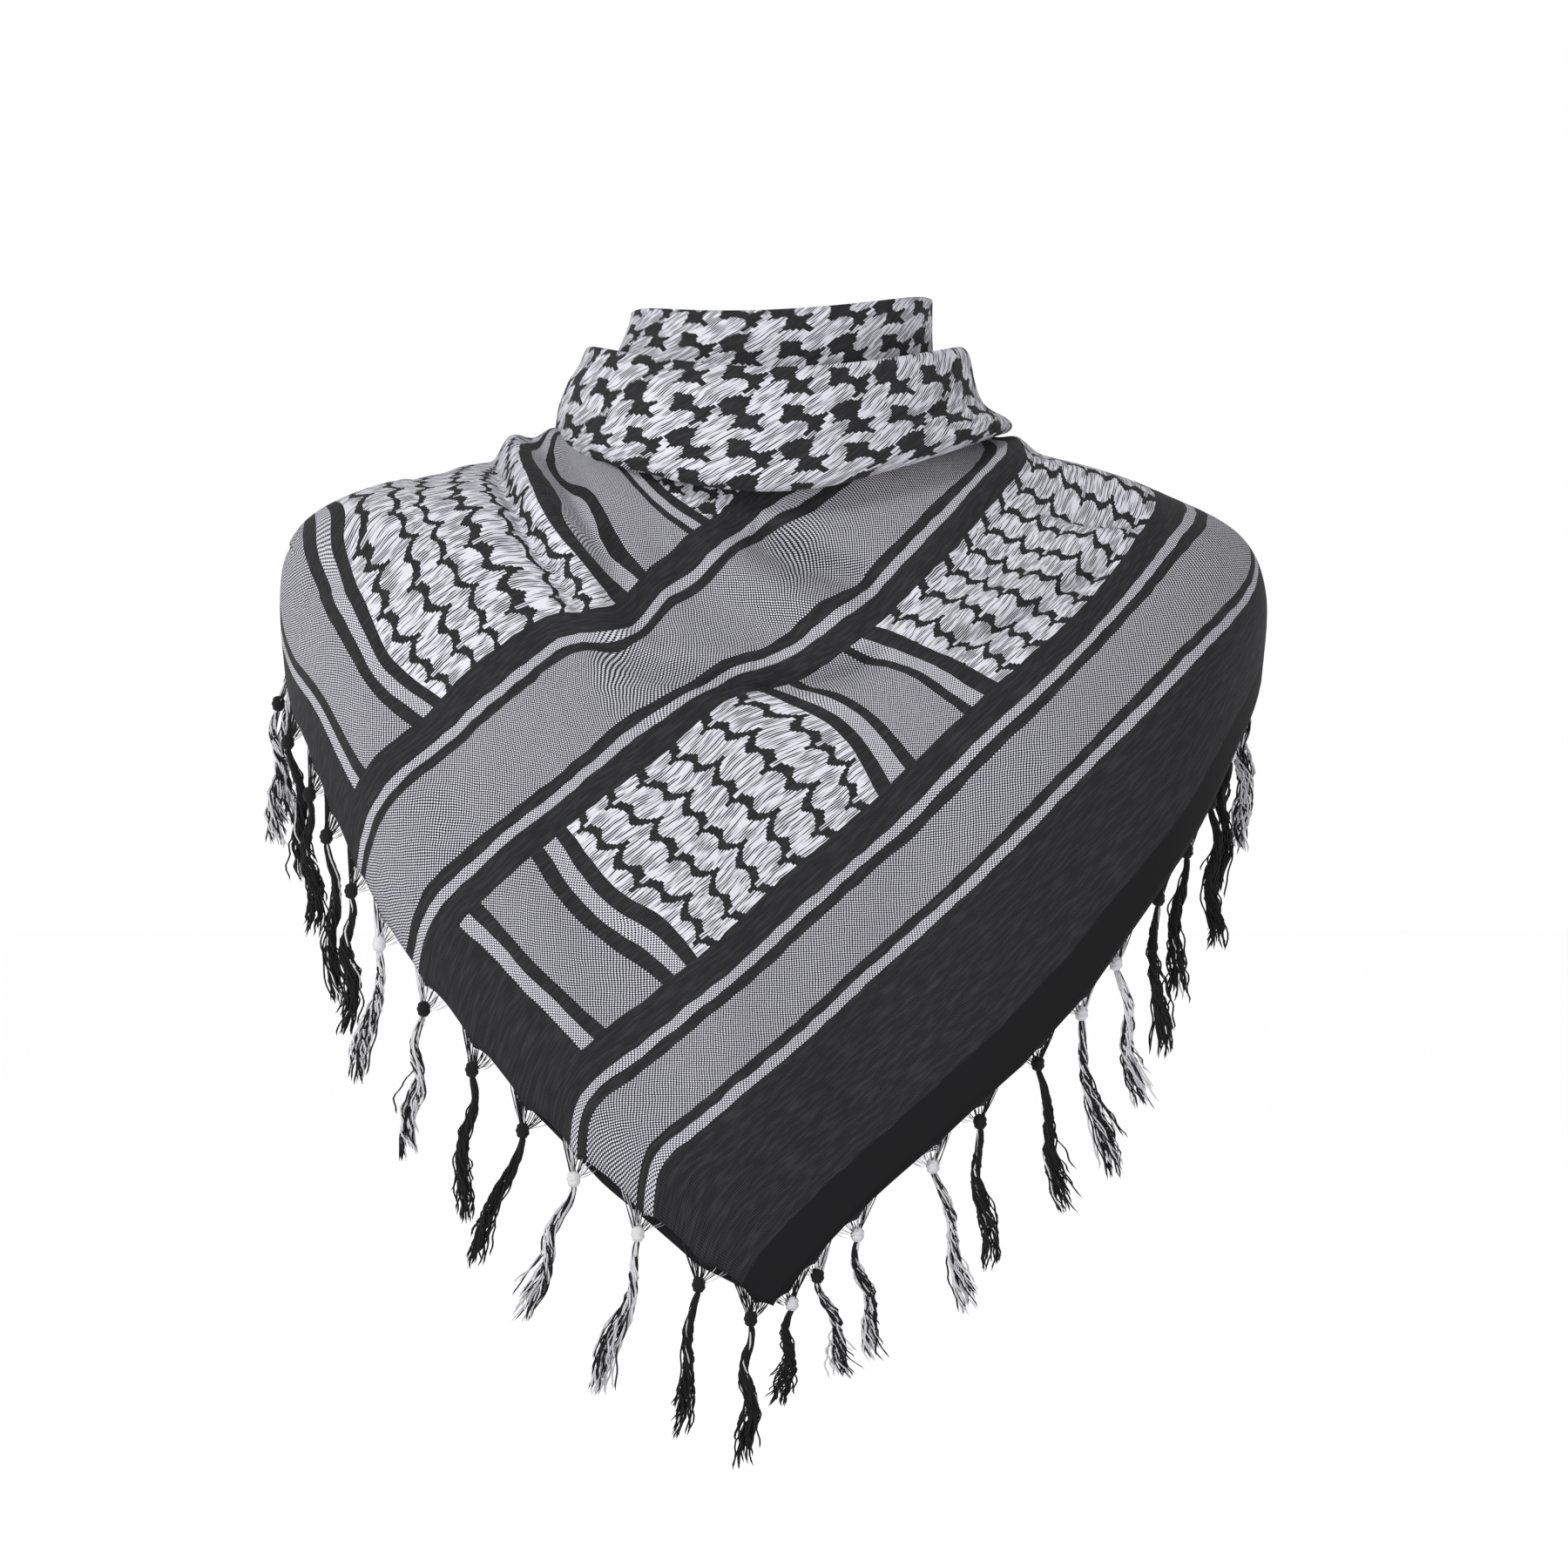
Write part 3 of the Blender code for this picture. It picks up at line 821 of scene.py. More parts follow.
@dataclass(frozen=True)
class Drape:
    """The shawl's form, which both hanging layers share."""

    form: RingForm = RingForm(SHAWL_RINGS, 2.25)
    lift: float = 7.0 * MM
    dip_reach: float = 7.0 * MM
    fade_depth: float = 60.0 * MM
    levels: int = 400

    def fold_height(self, points: np.ndarray) -> np.ndarray:
        """The folds in front and those behind, which take over across the shoulders."""
        front = eased(-points[..., 1], -self.fade_depth, 0.0)
        return fold_lift(points, MAIN_FOLDS) * front + fold_lift(points, BACK_FOLDS) * (1 - front)

    def surface(self, azimuth: np.ndarray, at: np.ndarray, inset: float = 0.0) -> np.ndarray:
        """Points of the draped cloth, moved inwards by the inset in metres."""
        base = self.form.point(azimuth, at)
        raised = self.fold_height(base)[..., None] + nape_lift(azimuth, self.lift)
        return base + self.form.normal(azimuth, at) * (raised - inset)

    def ring_at_height(self, azimuth: np.ndarray, height: np.ndarray) -> np.ndarray:
        """The fractional ring at which each column comes down to a height."""
        fine = np.linspace(0, len(self.form.rings) - 1, self.levels)
        levels = self.form.point(azimuth[:, None], fine)[..., 2]
        return np.array([np.interp(-z, -level, fine) for z, level in zip(height, levels)])

    def rows_at(self, azimuth: np.ndarray, hem: np.ndarray, rows: int) -> np.ndarray:
        """The fractional rings of a grid's rows, from the neckline down to its hem."""
        return np.linspace(0, 1, rows)[:, None] * self.ring_at_height(azimuth, hem)

    def hem_height(self, azimuth: np.ndarray) -> np.ndarray:
        """The outer hem's height at azimuths in radians."""
        away = np.degrees(np.abs(azimuth))
        left = np.interp(away, HEM[:, 0], HEM[:, 1] * MM)
        right = np.interp(away, HEM[:, 0], HEM[:, 2] * MM)
        return np.where(azimuth < 0, left, right)

    def dipped(
        self, azimuth: np.ndarray, hem: np.ndarray, side: Side, depth: float
    ) -> np.ndarray:
        """A hem that its tassels pull down: by depth times exp(-|d| / reach) at a distance d.

        Args:
            azimuth: of the hem's points, in radians.
            hem: its height at each of them.
            side: the side that has the tassels.
            depth: of the dips, in metres.

        Returns:
            The new heights.
        """
        line = self.surface(azimuth, self.ring_at_height(azimuth, hem))
        along = arc_lengths(line)
        along = np.abs(along - along[int(np.abs(azimuth).argmin())])
        away = np.abs(along[:, None] - np.array(knot_places(side)) * MM).min(axis=1)
        own = azimuth <= 0 if side is Side.LEFT else azimuth >= 0
        return hem - own * depth * np.exp(-away / self.dip_reach)

    def under_drop(self, azimuth: np.ndarray) -> np.ndarray:
        """How much lower the under layer's hem hangs at azimuths in radians."""
        return np.interp(np.degrees(azimuth), *UNDER_HEM) * MM


class Edge(Enum):
    """The two edges of the square that hang in front, from which the woven lines are counted."""

    FRINGE = "fringe"
    SELVAGE = "selvage"


# The picture that the front view is measured in: mm for each pixel, and the pixel at the origin.
PICTURE_SCALE = 0.471
PICTURE_CENTRE = (888, 520)

# The eye that it is seen from: its distance in front of the origin, the depth of the plane of
# the picture, and its X and Z, in metres.
EYE_DISTANCE = 6.0
EYE_PLANE = -0.07
EYE = np.array((0.0057, -0.179))

# The courses of woven lines over the worn cloth: the edge that a line runs along, its distance
# from that edge in mm, and the picture's columns and rows that it passes through.
WOVEN_LINES = (
    (Edge.SELVAGE, 352.0, ((405, 909), (472, 836), (507, 801), (619, 712), (670, 705), (701, 693),
        (741, 658), (797, 612), (825, 600))),
    (Edge.SELVAGE, 334.5, ((440, 905), (480, 865), (520, 832), (560, 793), (600, 758), (640, 735),
        (720, 722), (760, 681), (800, 650), (840, 616), (880, 595), (920, 565))),
    (Edge.SELVAGE, 322.5, ((440, 944), (480, 897), (520, 865), (560, 830), (600, 792), (640, 760),
        (680, 742), (720, 748), (760, 712), (800, 685), (840, 650), (880, 624), (920, 597),
        (960, 565))),
    (Edge.SELVAGE, 277.5, ((480, 1039), (520, 990), (560, 953), (600, 921), (640, 892),
        (680, 856), (720, 824), (760, 793), (800, 783), (880, 747), (920, 713), (960, 683),
        (1000, 654), (1040, 611), (1080, 572))),
    (Edge.SELVAGE, 250.0, ((527, 1066), (560, 1030), (600, 994), (680, 930), (720, 897),
        (760, 866), (800, 835), (840, 802), (880, 793), (960, 755), (1007, 720), (1040, 688),
        (1080, 651), (1120, 606), (1149, 570), (1179, 520))),
    (Edge.SELVAGE, 156.0, ((665, 1209), (696, 1182), (759, 1131), (800, 1099), (840, 1064),
        (880, 1027), (920, 989), (960, 957), (1000, 921), (1040, 882), (1080, 845), (1120, 807),
        (1160, 771), (1200, 736), (1240, 701), (1280, 653), (1320, 591))),
    (Edge.SELVAGE, 125.0, ((680, 1278), (720, 1244), (760, 1211), (800, 1179), (840, 1147),
        (880, 1112), (920, 1076), (960, 1039), (1000, 1003), (1040, 970), (1080, 931),
        (1120, 889), (1160, 849), (1200, 812), (1240, 769), (1280, 726), (1320, 684), (1360, 635))),
    (Edge.SELVAGE, 79.0, ((760, 1341), (800, 1306), (840, 1270), (880, 1237), (920, 1203),
        (960, 1166), (1000, 1129), (1040, 1093), (1080, 1057), (1120, 1020), (1160, 981),
        (1200, 940), (1240, 899), (1280, 858), (1320, 818), (1360, 776), (1400, 733), (1440, 681))),
    (Edge.FRINGE, 38.0, ((665, 1209), (640, 1180), (600, 1139), (560, 1097), (527, 1066),
        (405, 909), (332, 772))),
    (Edge.FRINGE, 92.0, ((759, 1131), (720, 1106), (680, 1072), (640, 1035), (609, 988),
        (472, 836), (440, 811), (404, 757), (370, 700), (352, 650), (345, 613))),
    (Edge.FRINGE, 118.0, ((799, 1100), (760, 1052), (720, 1032), (680, 990), (652, 951),
        (507, 801), (480, 781), (440, 748), (427, 709), (408, 667), (396, 619), (402, 597))),
    (Edge.FRINGE, 251.0, ((1007, 914), (862, 788), (701, 693), (658, 632), (637, 605), (619, 569),
        (608, 537), (603, 512))),
    (Edge.FRINGE, 277.0, ((1051, 872), (960, 793), (741, 658), (710, 626), (667, 569), (650, 536),
        (637, 505))),
    (Edge.FRINGE, 314.0, ((1105, 821), (963, 752), (797, 612), (756, 582))),
    (Edge.FRINGE, 338.0, ((1144, 783), (1007, 720), (825, 600))),
    (Edge.SELVAGE, 392.0, ((440, 748), (655, 628))),
    (Edge.SELVAGE, 434.0, ((408, 667), (608, 545))),
    (Edge.SELVAGE, 460.0, ((396, 619), (500, 565))),
    (Edge.FRINGE, 129.0, ((512, 783), (470, 748), (438, 680), (422, 635), (412, 598))),
    (Edge.FRINGE, 151.5, ((540, 755), (497, 700), (478, 655), (460, 600))),
    (Edge.FRINGE, 174.0, ((573, 734), (540, 690), (508, 632), (490, 585))),
    (Edge.FRINGE, 196.0, ((612, 712), (580, 672), (550, 625), (530, 580))),
    (Edge.FRINGE, 218.5, ((648, 693), (635, 668), (600, 620), (575, 578))),
    (Edge.FRINGE, 240.7, ((668, 702), (640, 655), (605, 605), (585, 560))),
    (Edge.FRINGE, 353.3, ((1160, 762), (1030, 701), (941, 642))),
    (Edge.FRINGE, 375.6, ((1190, 735), (1062, 672), (973, 613))),
    (Edge.FRINGE, 397.9, ((1218, 707), (1092, 645), (1003, 586))),
    (Edge.FRINGE, 420.2, ((1245, 685), (1112, 619), (1024, 562))),
    (Edge.FRINGE, 442.5, ((1268, 662), (1130, 596))),
    (Edge.FRINGE, 464.8, ((1288, 638), (1148, 569))),
    (Edge.FRINGE, 487.1, ((1300, 615), (1163, 546))),
    (Edge.FRINGE, 509.4, ((1310, 598), (1178, 525))),
)


@dataclass(frozen=True)
class CutPlan:
    """Where each point of the hanging cloth lies in the flat square, in metres from the fringed
    edge and from the selvage."""

    unrolled: float = 0.55
    smoothing: float = 4e-6
    depth_share: float = 0.05
    # the left hem is a little gathered; behind, the cloth is skewed by its way up from the hem
    left_ease: float = 0.955
    skew: float = 0.6
    # where the pins lie: azimuths in degrees, and steps in columns
    front_limit: float = 89.0
    behind: float = 105.0
    far_behind: float = 135.0
    hem_step: int = 5
    behind_step: int = 4
    behind_rows: int = 5
    read_parts: int = 24

    def unroll(self, points: np.ndarray) -> np.ndarray:
        """Points with their turn round the neck made smaller, so that the two sides of the back
        lie apart: (r/k sin(k t), -r/k cos(k t), z)."""
        radius = np.hypot(points[..., 0], points[..., 1])
        turn = self.unrolled * np.arctan2(points[..., 0], -points[..., 1])
        reach = radius / self.unrolled
        return np.stack([reach * np.sin(turn), -reach * np.cos(turn), points[..., 2]], axis=-1)

    def seen(self, points: np.ndarray) -> np.ndarray:
        """The points' places in the front view, in metres on the plane of the picture."""
        near = (EYE_DISTANCE + EYE_PLANE) / (EYE_DISTANCE + points[..., 1])
        return EYE + (points[..., [0, 2]] - EYE) * near[..., None]

    def line_pins(
        self, points: np.ndarray, spread: np.ndarray, edge: Edge
    ) -> tuple[np.ndarray, np.ndarray]:
        """The pinned places of the lines that run along an edge.

        Args:
            points: the cloth's front, n by 3.
            spread: the same points unrolled, without their folds.
            edge: the edge that the lines are counted from.

        Returns:
            Unrolled places and their distances from the edge, in metres.
        """
        view = self.seen(points)
        places, values = [], []
        for line_edge, distance, course in WOVEN_LINES:
            if line_edge is not edge:
                continue
            spot = (np.array(course, float) - PICTURE_CENTRE) * PICTURE_SCALE * MM
            spot[:, 1] *= -1
            away = np.linalg.norm(view[None] - spot[:, None], axis=-1)
            near = (away + self.depth_share * points[:, 1]).argmin(axis=1)
            places.append(spread[near] + np.insert(spot - view[near], 1, 0, axis=1))
            values.append(np.full(len(spot), distance * MM))
        return np.concatenate(places), np.concatenate(values)

    def fitted(self, places: np.ndarray, values: np.ndarray, wanted: np.ndarray) -> np.ndarray:
        """A smooth field through pinned values: the sum of r^3 round each pin and a plane.

        Args:
            places: n by 3 pinned places.
            values: their n values.
            wanted: places to read the field at.

        Returns:
            The field's values, one for each wanted place.
        """
        count = len(places)
        plane = np.hstack([np.ones((count, 1)), places])
        table = np.zeros((count + 4, count + 4))
        table[:count, :count] = np.linalg.norm(places[:, None] - places, axis=-1) ** 3
        table[:count, :count] += self.smoothing * np.eye(count)
        table[:count, count:] = plane
        table[count:, :count] = plane.T
        weights = np.linalg.solve(table, np.concatenate([values, np.zeros(4)]))
        found = []
        for part in np.array_split(wanted, self.read_parts):
            reach = np.linalg.norm(part[:, None] - places, axis=-1) ** 3
            found.append(reach @ weights[:count] + weights[count] + part @ weights[count + 1:])
        return np.concatenate(found)

    def read(self, points: np.ndarray, base: np.ndarray, azimuth: np.ndarray) -> np.ndarray:
        """The plan of the outer layer.

        Args:
            points: rows by columns by 3, from the neckline down to the hem.
            base: the same points without their folds.
            azimuth: of the columns, in radians.

        Returns:
            Rows by columns by 2: metres from the fringed edge and from the selvage.
        """
        hem = points[-1]
        centre = int(np.abs(azimuth).argmin())
        along = arc_lengths(hem)
        left = azimuth < 0
        along = np.abs(along - along[centre]) * np.where(left, self.left_ease, 1.0)
        up = arc_lengths(points[::-1])[::-1]
        degrees = np.degrees(azimuth)
        spread = self.unroll(base)
        in_front = np.abs(degrees) < self.front_limit
        front = points[:, in_front].reshape(-1, 3)
        front_spread = spread[:, in_front].reshape(-1, 3)
        at_hem = np.arange(0, len(azimuth), self.hem_step)
        behind = np.flatnonzero(np.abs(degrees) > self.behind)[:: self.behind_step]
        rows = np.linspace(0, len(points) - 2, self.behind_rows).astype(int)
        row, column = (index.ravel() for index in np.meshgrid(rows, behind, indexing="ij"))
        free = np.concatenate([spread[-1, at_hem], spread[row, column]])
        far = eased(np.abs(degrees), self.behind, self.far_behind)
        plan = []
        for edge in Edge:
            own = left if edge is Edge.FRINGE else ~left
            back = np.where(own, up, along + self.skew * up)
            places, pinned = self.line_pins(front, front_spread, edge)
            places = np.concatenate([places, free])
            pinned = np.concatenate([pinned, back[-1, at_hem], back[row, column]])
            field = self.fitted(places, pinned, spread.reshape(-1, 3)).reshape(up.shape)
            plan.append(field * (1 - far) + back * far)
        return np.stack(plan, axis=-1)


@dataclass(frozen=True)
class NeckPlan:
    """Where the cloth round the neck lies in the flat square. Its height over the corner goes
    from one value to another, in mm, with the way down in front, of which a slanting stretch
    counts less. It is stretched round the neck, across its threads."""

    low: float
    high: float
    aside: float
    stretch: float = 1.14
    slant: float = 0.18

    def read(self, points: np.ndarray, front: int) -> np.ndarray:
        """The plan of rows that run from the highest down.

        Args:
            points: rows by columns by 3.
            front: the column that lies in front.

        Returns:
            Rows by columns by 2: metres from the fringed edge and from the selvage.
        """
        across = arc_lengths(points[len(points) // 2])
        across = (across - across[front]) / self.stretch + self.aside * MM
        across = np.broadcast_to(across, points.shape[:2])
        fall = np.abs(np.diff(points[:, front, 2]))
        step = np.linalg.norm(np.diff(points[:, front], axis=0), axis=-1)
        down = np.cumsum(np.insert(fall + self.slant * step, 0, 0.0))
        height = self.high * MM - (self.high - self.low) * MM * (down / down[-1])[:, None]
        return np.stack([height + across, height - across], axis=-1) / np.sqrt(2)


@dataclass(frozen=True)
class Grid:
    """How finely a stretch of cloth is divided."""

    rows: int = 126
    front_columns: int = 301
    back_columns: int = 36
    front_limit: float = 88.0
    end: float = 190.0

    def azimuths(self) -> np.ndarray:
        """The columns' azimuths in radians, close together in front and wider apart behind."""
        left = np.linspace(-self.end, -self.front_limit, self.back_columns, endpoint=False)
        front = np.linspace(-self.front_limit, self.front_limit, self.front_columns)
        return np.radians(np.concatenate([left, front, -left[::-1]]))


def hanging_points(
    drape: Drape, azimuth: np.ndarray, hem: np.ndarray, rows: int, inset: float
) -> np.ndarray:
    """A hanging layer's grid, from the neckline down to its hem."""
    return drape.surface(azimuth, drape.rows_at(azimuth, hem, rows), inset)


@dataclass
class HangingLayers:
    """The outer and the under layer of the folded square."""

    drape: Drape = field(default_factory=Drape)
    grid: Grid = field(default_factory=Grid)
    cloth: float = 0.7 * MM
    under_inset: float = 2.3 * MM
    under_rows: int = 66
    flat: tuple[float, float] = (0.85, 0.83)
    flat_area: float = 0.35
    outer_dip: float = 7.0 * MM
    under_dip: float = 5.0 * MM

    def build(self) -> list[bpy.types.Object]:
        """Makes both layers."""
        azimuth = self.grid.azimuths()
        plain_hem = self.drape.hem_height(azimuth)
        low_hem = plain_hem - self.drape.under_drop(azimuth)
        hem = self.drape.dipped(azimuth, plain_hem, Side.LEFT, self.outer_dip)
        low_hem = self.drape.dipped(azimuth, low_hem, Side.RIGHT, self.under_dip)
        outer = hanging_points(self.drape, azimuth, hem, self.grid.rows, 0.0)
        under = hanging_points(self.drape, azimuth, low_hem, self.under_rows, self.under_inset)
        base = self.drape.form.point(azimuth, self.drape.rows_at(azimuth, hem, self.grid.rows))
        plan = CutPlan().read(outer, base, azimuth)
        coarse = np.linspace(0, self.grid.rows - 1, self.under_rows).round().astype(int)
        made = []
        for name, points, cut, slot in (
            ("outer_cloth", outer, plan, "check_cloth"),
            ("under_cloth", under, plan[coarse][..., ::-1], "black_cloth"),
        ):
            piece = cloth_shell(name, points, cut, self.cloth)
            piece.data.materials.append(Woven(slot).material())
            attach(piece, BODY)
            made.append(piece)
        for piece, node, held_up_by in zip(
            made, ("outer_layer", "under_layer"), (["under_layer"], ["neck_band"])
        ):
            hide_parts(node)
        return made


ROLL_RINGS = (
    Ring(90, 84, 89, 46, 32, 44),
    Ring(94, 88, 94, 55, 42, 53),
    Ring(102, 96, 101, 60, 47, 58),
    Ring(112, 104, 109, 50, 36, 50),
    Ring(126, 112, 117, 32, 16, 34),
    Ring(131, 114, 120, 18, -6, 18),
    Ring(124, 106, 115, 12, -20, 8),
    Ring(112, 94.2, 105, 19, -21, 12),
)

# The creases that the roll has in front, in the front view.
ROLL_FOLDS = (
    Fold(-118, 34, -84, 10, -30, -6, 5, -3),
    Fold(-110, 44, -60, 24, 0, 22, 6, -3),
    Fold(-100, 20, -60, 4, -10, 4, 7, 3),
    Fold(-20, 30, 30, 26, 84, 44, 6, -3),
    Fold(0, 10, 50, 6, 104, 30, 6, -4),
    Fold(20, -4, 70, -2, 118, 18, 6, 3),
    Fold(-60, -14, -10, -18, 40, -12, 5, 2),
)

BAND_RINGS = (
    Ring(87, 81, 81, 85, 79, 78),
    Ring(87, 81, 81, 62, 48, 54),
    Ring(89, 82, 82, 36, 18, 30),
    Ring(97, 83.5, 85.5, 22.6, -1.4, 14.6),
)


def starred_shell(
    name: str, points: np.ndarray, azimuth: np.ndarray, plan: NeckPlan, cloth: float
) -> bpy.types.Object:
    """A shell of starred cloth round the neck, of rows that run from its edge down."""
    front = int(np.abs(azimuth).argmin())
    piece = cloth_shell(name, points, plan.read(points, front), cloth)
    piece.data.materials.append(Woven("starred_cloth").material())
    return piece


@dataclass
class NeckRoll:
    """The cloth that is turned down round the neck. Rings are counted from its upper edge, and
    how far a point lies to the left is the sine of its azimuth."""

    form: RingForm = RingForm(ROLL_RINGS, 2.1)
    ends: tuple[float, float] = (-192.0, 186.0)
    rows: int = 90
    columns: int = 420
    cloth: float = 1.2 * MM
    lift: float = 4.0 * MM
    plan: NeckPlan = NeckPlan(653.9, 761.9, -6.8)
    flat: tuple[float, float] = (0.108, 0.655)
    wave: float = 1.8 * MM
    waves: float = 2.5
    # its folds fade out behind over this depth
    fade_depth: float = 50.0 * MM
    # the ring under its crest at which both sides are drawn in most
    waist: float = 3.8
    drawn_in: float = 9.0 * MM
    left_drawn_in: float = 2.0 * MM
    # the left side is tucked in under the crest and hangs lower there
    left: tuple[float, float] = (0.3, 1.0)
    left_tuck: float = 9.0 * MM
    tuck_from: tuple[float, float] = (2.0, 4.5)
    tuck_to: tuple[float, float] = (6.0, 7.0)
    left_droop: float = 8.0 * MM
    droop_from: tuple[float, float] = (3.0, 5.0)

    def surface(self, azimuth: np.ndarray, at: np.ndarray) -> np.ndarray:
        """The roll's outer face: its section carried round the neck, drawn in at both sides under
        its crest, with its folds and with soft waves, a sine of the ring and of the azimuth."""
        last = len(self.form.rings) - 1
        wave = self.wave * np.sin(at * np.pi / last) * np.sin(self.waves * at + azimuth)
        sine = np.sin(azimuth)
        waist = np.exp(-((at - self.waist) ** 2)) * sine**2
        waist = waist * np.where(sine > 0, self.drawn_in, self.left_drawn_in)
        base = self.form.point(azimuth, at)
        folds = fold_lift(base, ROLL_FOLDS) * eased(-base[..., 1], -self.fade_depth, 0.0)
        raised = (wave - waist + folds)[..., None] + nape_lift(azimuth, self.lift)
        points = base + self.form.normal(azimuth, at) * raised
        left = eased(-sine, *self.left)
        tucked = eased(at, *self.tuck_from) * (1 - eased(at, *self.tuck_to))
        points[..., 0] += self.left_tuck * tucked * left
        points[..., 2] -= self.left_droop * eased(at, *self.droop_from) * left
        return points

    def build(self) -> bpy.types.Object:
        """Makes the roll."""
        azimuth = np.radians(np.linspace(*self.ends, self.columns))
        at = np.linspace(0, len(self.form.rings) - 1, self.rows)[:, None]
        points = self.surface(azimuth, at)
        piece = starred_shell("roll_cloth", points, azimuth, self.plan, self.cloth)
        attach(piece, BODY)
        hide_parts("neck_roll")
        return piece


@dataclass
class NeckBand:
    """The folded edge that stands inside the roll. Its edge is taken to lie in its top rings."""

    form: RingForm = RingForm(BAND_RINGS, 2.1)
    ends: tuple[float, float] = (-188.0, 188.0)
    rows: int = 50
    columns: int = 420
    cloth: float = 1.2 * MM
    lift: float = 4.0 * MM
    plan: NeckPlan = NeckPlan(688.3, 791.3, -11.1)
    flat: tuple[float, float] = (0.103, 0.49)
    edge: float = 1.6
    # the edge leans inwards on the left, rises to the right, dips in front by a share of that
    # and falls over narrow corners at both sides
    left: tuple[float, float] = (0.2, 1.0)
    lean: float = 9.0 * MM
    tilt: float = 3.5 * MM
    front_dip: float = 0.5
    corner_fall: float = 3.0 * MM
    corner_power: int = 20

    def surface(self, azimuth: np.ndarray, at: np.ndarray) -> np.ndarray:
        """The band's outer face."""
        inwards = self.form.normal(azimuth, at) * nape_lift(azimuth, self.lift)
        points = self.form.point(azimuth, at) - inwards
        edge = 1 - eased(at, 0.0, self.edge)
        sine = np.sin(azimuth)
        points[..., 0] += self.lean * edge * eased(-sine, *self.left)
        points[..., 2] += self.tilt * edge * (sine - self.front_dip * np.cos(azimuth))
        points[..., 2] -= self.corner_fall * edge * np.abs(sine) ** self.corner_power
        return points

    def build(self) -> bpy.types.Object:
        """Makes the band."""
        azimuth = np.radians(np.linspace(*self.ends, self.columns))
        at = np.linspace(0, len(self.form.rings) - 1, self.rows)[:, None]
        points = self.surface(azimuth, at)
        piece = starred_shell("band_cloth", points, azimuth, self.plan, self.cloth)
        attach(piece, BODY)
        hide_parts("neck_band")
        return piece


# The share of white among a tassel's threads, and where each row's random numbers start.
PALE_SHARE = {Threads.BLACK: 0.03, Threads.MIXED: 0.5, Threads.WHITE: 1.0}
SEEDS = {Side.LEFT: 120, Side.RIGHT: 20}


def tubes(
    paths: np.ndarray, radius: float, sides: int = 4, tip: float = 0.05
) -> tuple[np.ndarray, np.ndarray]:
    """Threads along paths: a level circle at each point, which closes to a tip at both ends.

    Args:
        paths: strands by points by 3, in metres.
        radius: of the threads, in metres.
        sides: of each tube.
        tip: how wide it is at its ends, as a share.

    Returns:
        The tubes' points and their quads.
    """
    strands, steps = paths.shape[:2]
    turn = np.linspace(0, 2 * np.pi, sides, endpoint=False)
    circle = np.stack([np.cos(turn), np.sin(turn), np.zeros_like(turn)], axis=-1)
    width = np.full(steps, radius)
    width[[0, -1]] = radius * tip
    points = paths[:, :, None, :] + width[None, :, None, None] * circle
    corner = np.arange(strands * steps * sides).reshape(strands, steps, sides)
    after = np.roll(corner, -1, axis=2)
    quads = [corner[:, :-1], corner[:, 1:], after[:, 1:], after[:, :-1]]
    return points.reshape(-1, 3), np.stack(quads, axis=-1).reshape(-1, 4)


@dataclass(frozen=True)
class Gather:
    """The threads that leave the hem on both sides of a tassel and run together to its knot,
    each along a straight line that sags a little. In mm; their places along the hem are even
    ones moved by a share of the reach."""

    threads: int = 30
    points: int = 7
    radius: float = 0.3
    reach: float = 16.0
    unevenness: float = 0.06
    corner_gap: float = 0.5
    rise: float = 1.2
    knot_spread: float = 0.9
    knot_flatness: float = 0.3
    sag: float = 2.2

    def paths(
        self,
        line: np.ndarray,
        length: np.ndarray,
        along: float,
        knot: np.ndarray,
        rng: np.random.Generator,
    ) -> np.ndarray:
        """The threads' courses.

        Args:
            line: points of the hem from the corner on, in metres.
            length: how far along the hem each one lies, in metres.
            along: the tassel's place on the hem, in mm.
            knot: the middle of its knot, in metres.
            rng: where the random numbers come from.

        Returns:
            Threads by points by 3, in metres.
        """
        share = np.linspace(-1, 1, self.threads) + rng.normal(0, self.unevenness, self.threads)
        at = np.clip(along + share * self.reach, self.corner_gap, None) * MM
        start = np.stack([np.interp(at, length, line[:, axis]) for axis in range(3)], axis=-1)
        start[:, 2] += self.rise * MM
        scatter = rng.normal(0, self.knot_spread * MM, start.shape)
        end = knot + scatter * [1, 1, self.knot_flatness]
        way = np.linspace(0, 1, self.points)[None, :, None]
        path = start[:, None] + (end - start)[:, None] * way
        sag = rng.uniform(0.0, self.sag, (len(start), 1)) * MM
        path[..., 2] -= np.sin(np.pi * way[..., 0]) * sag
        return path


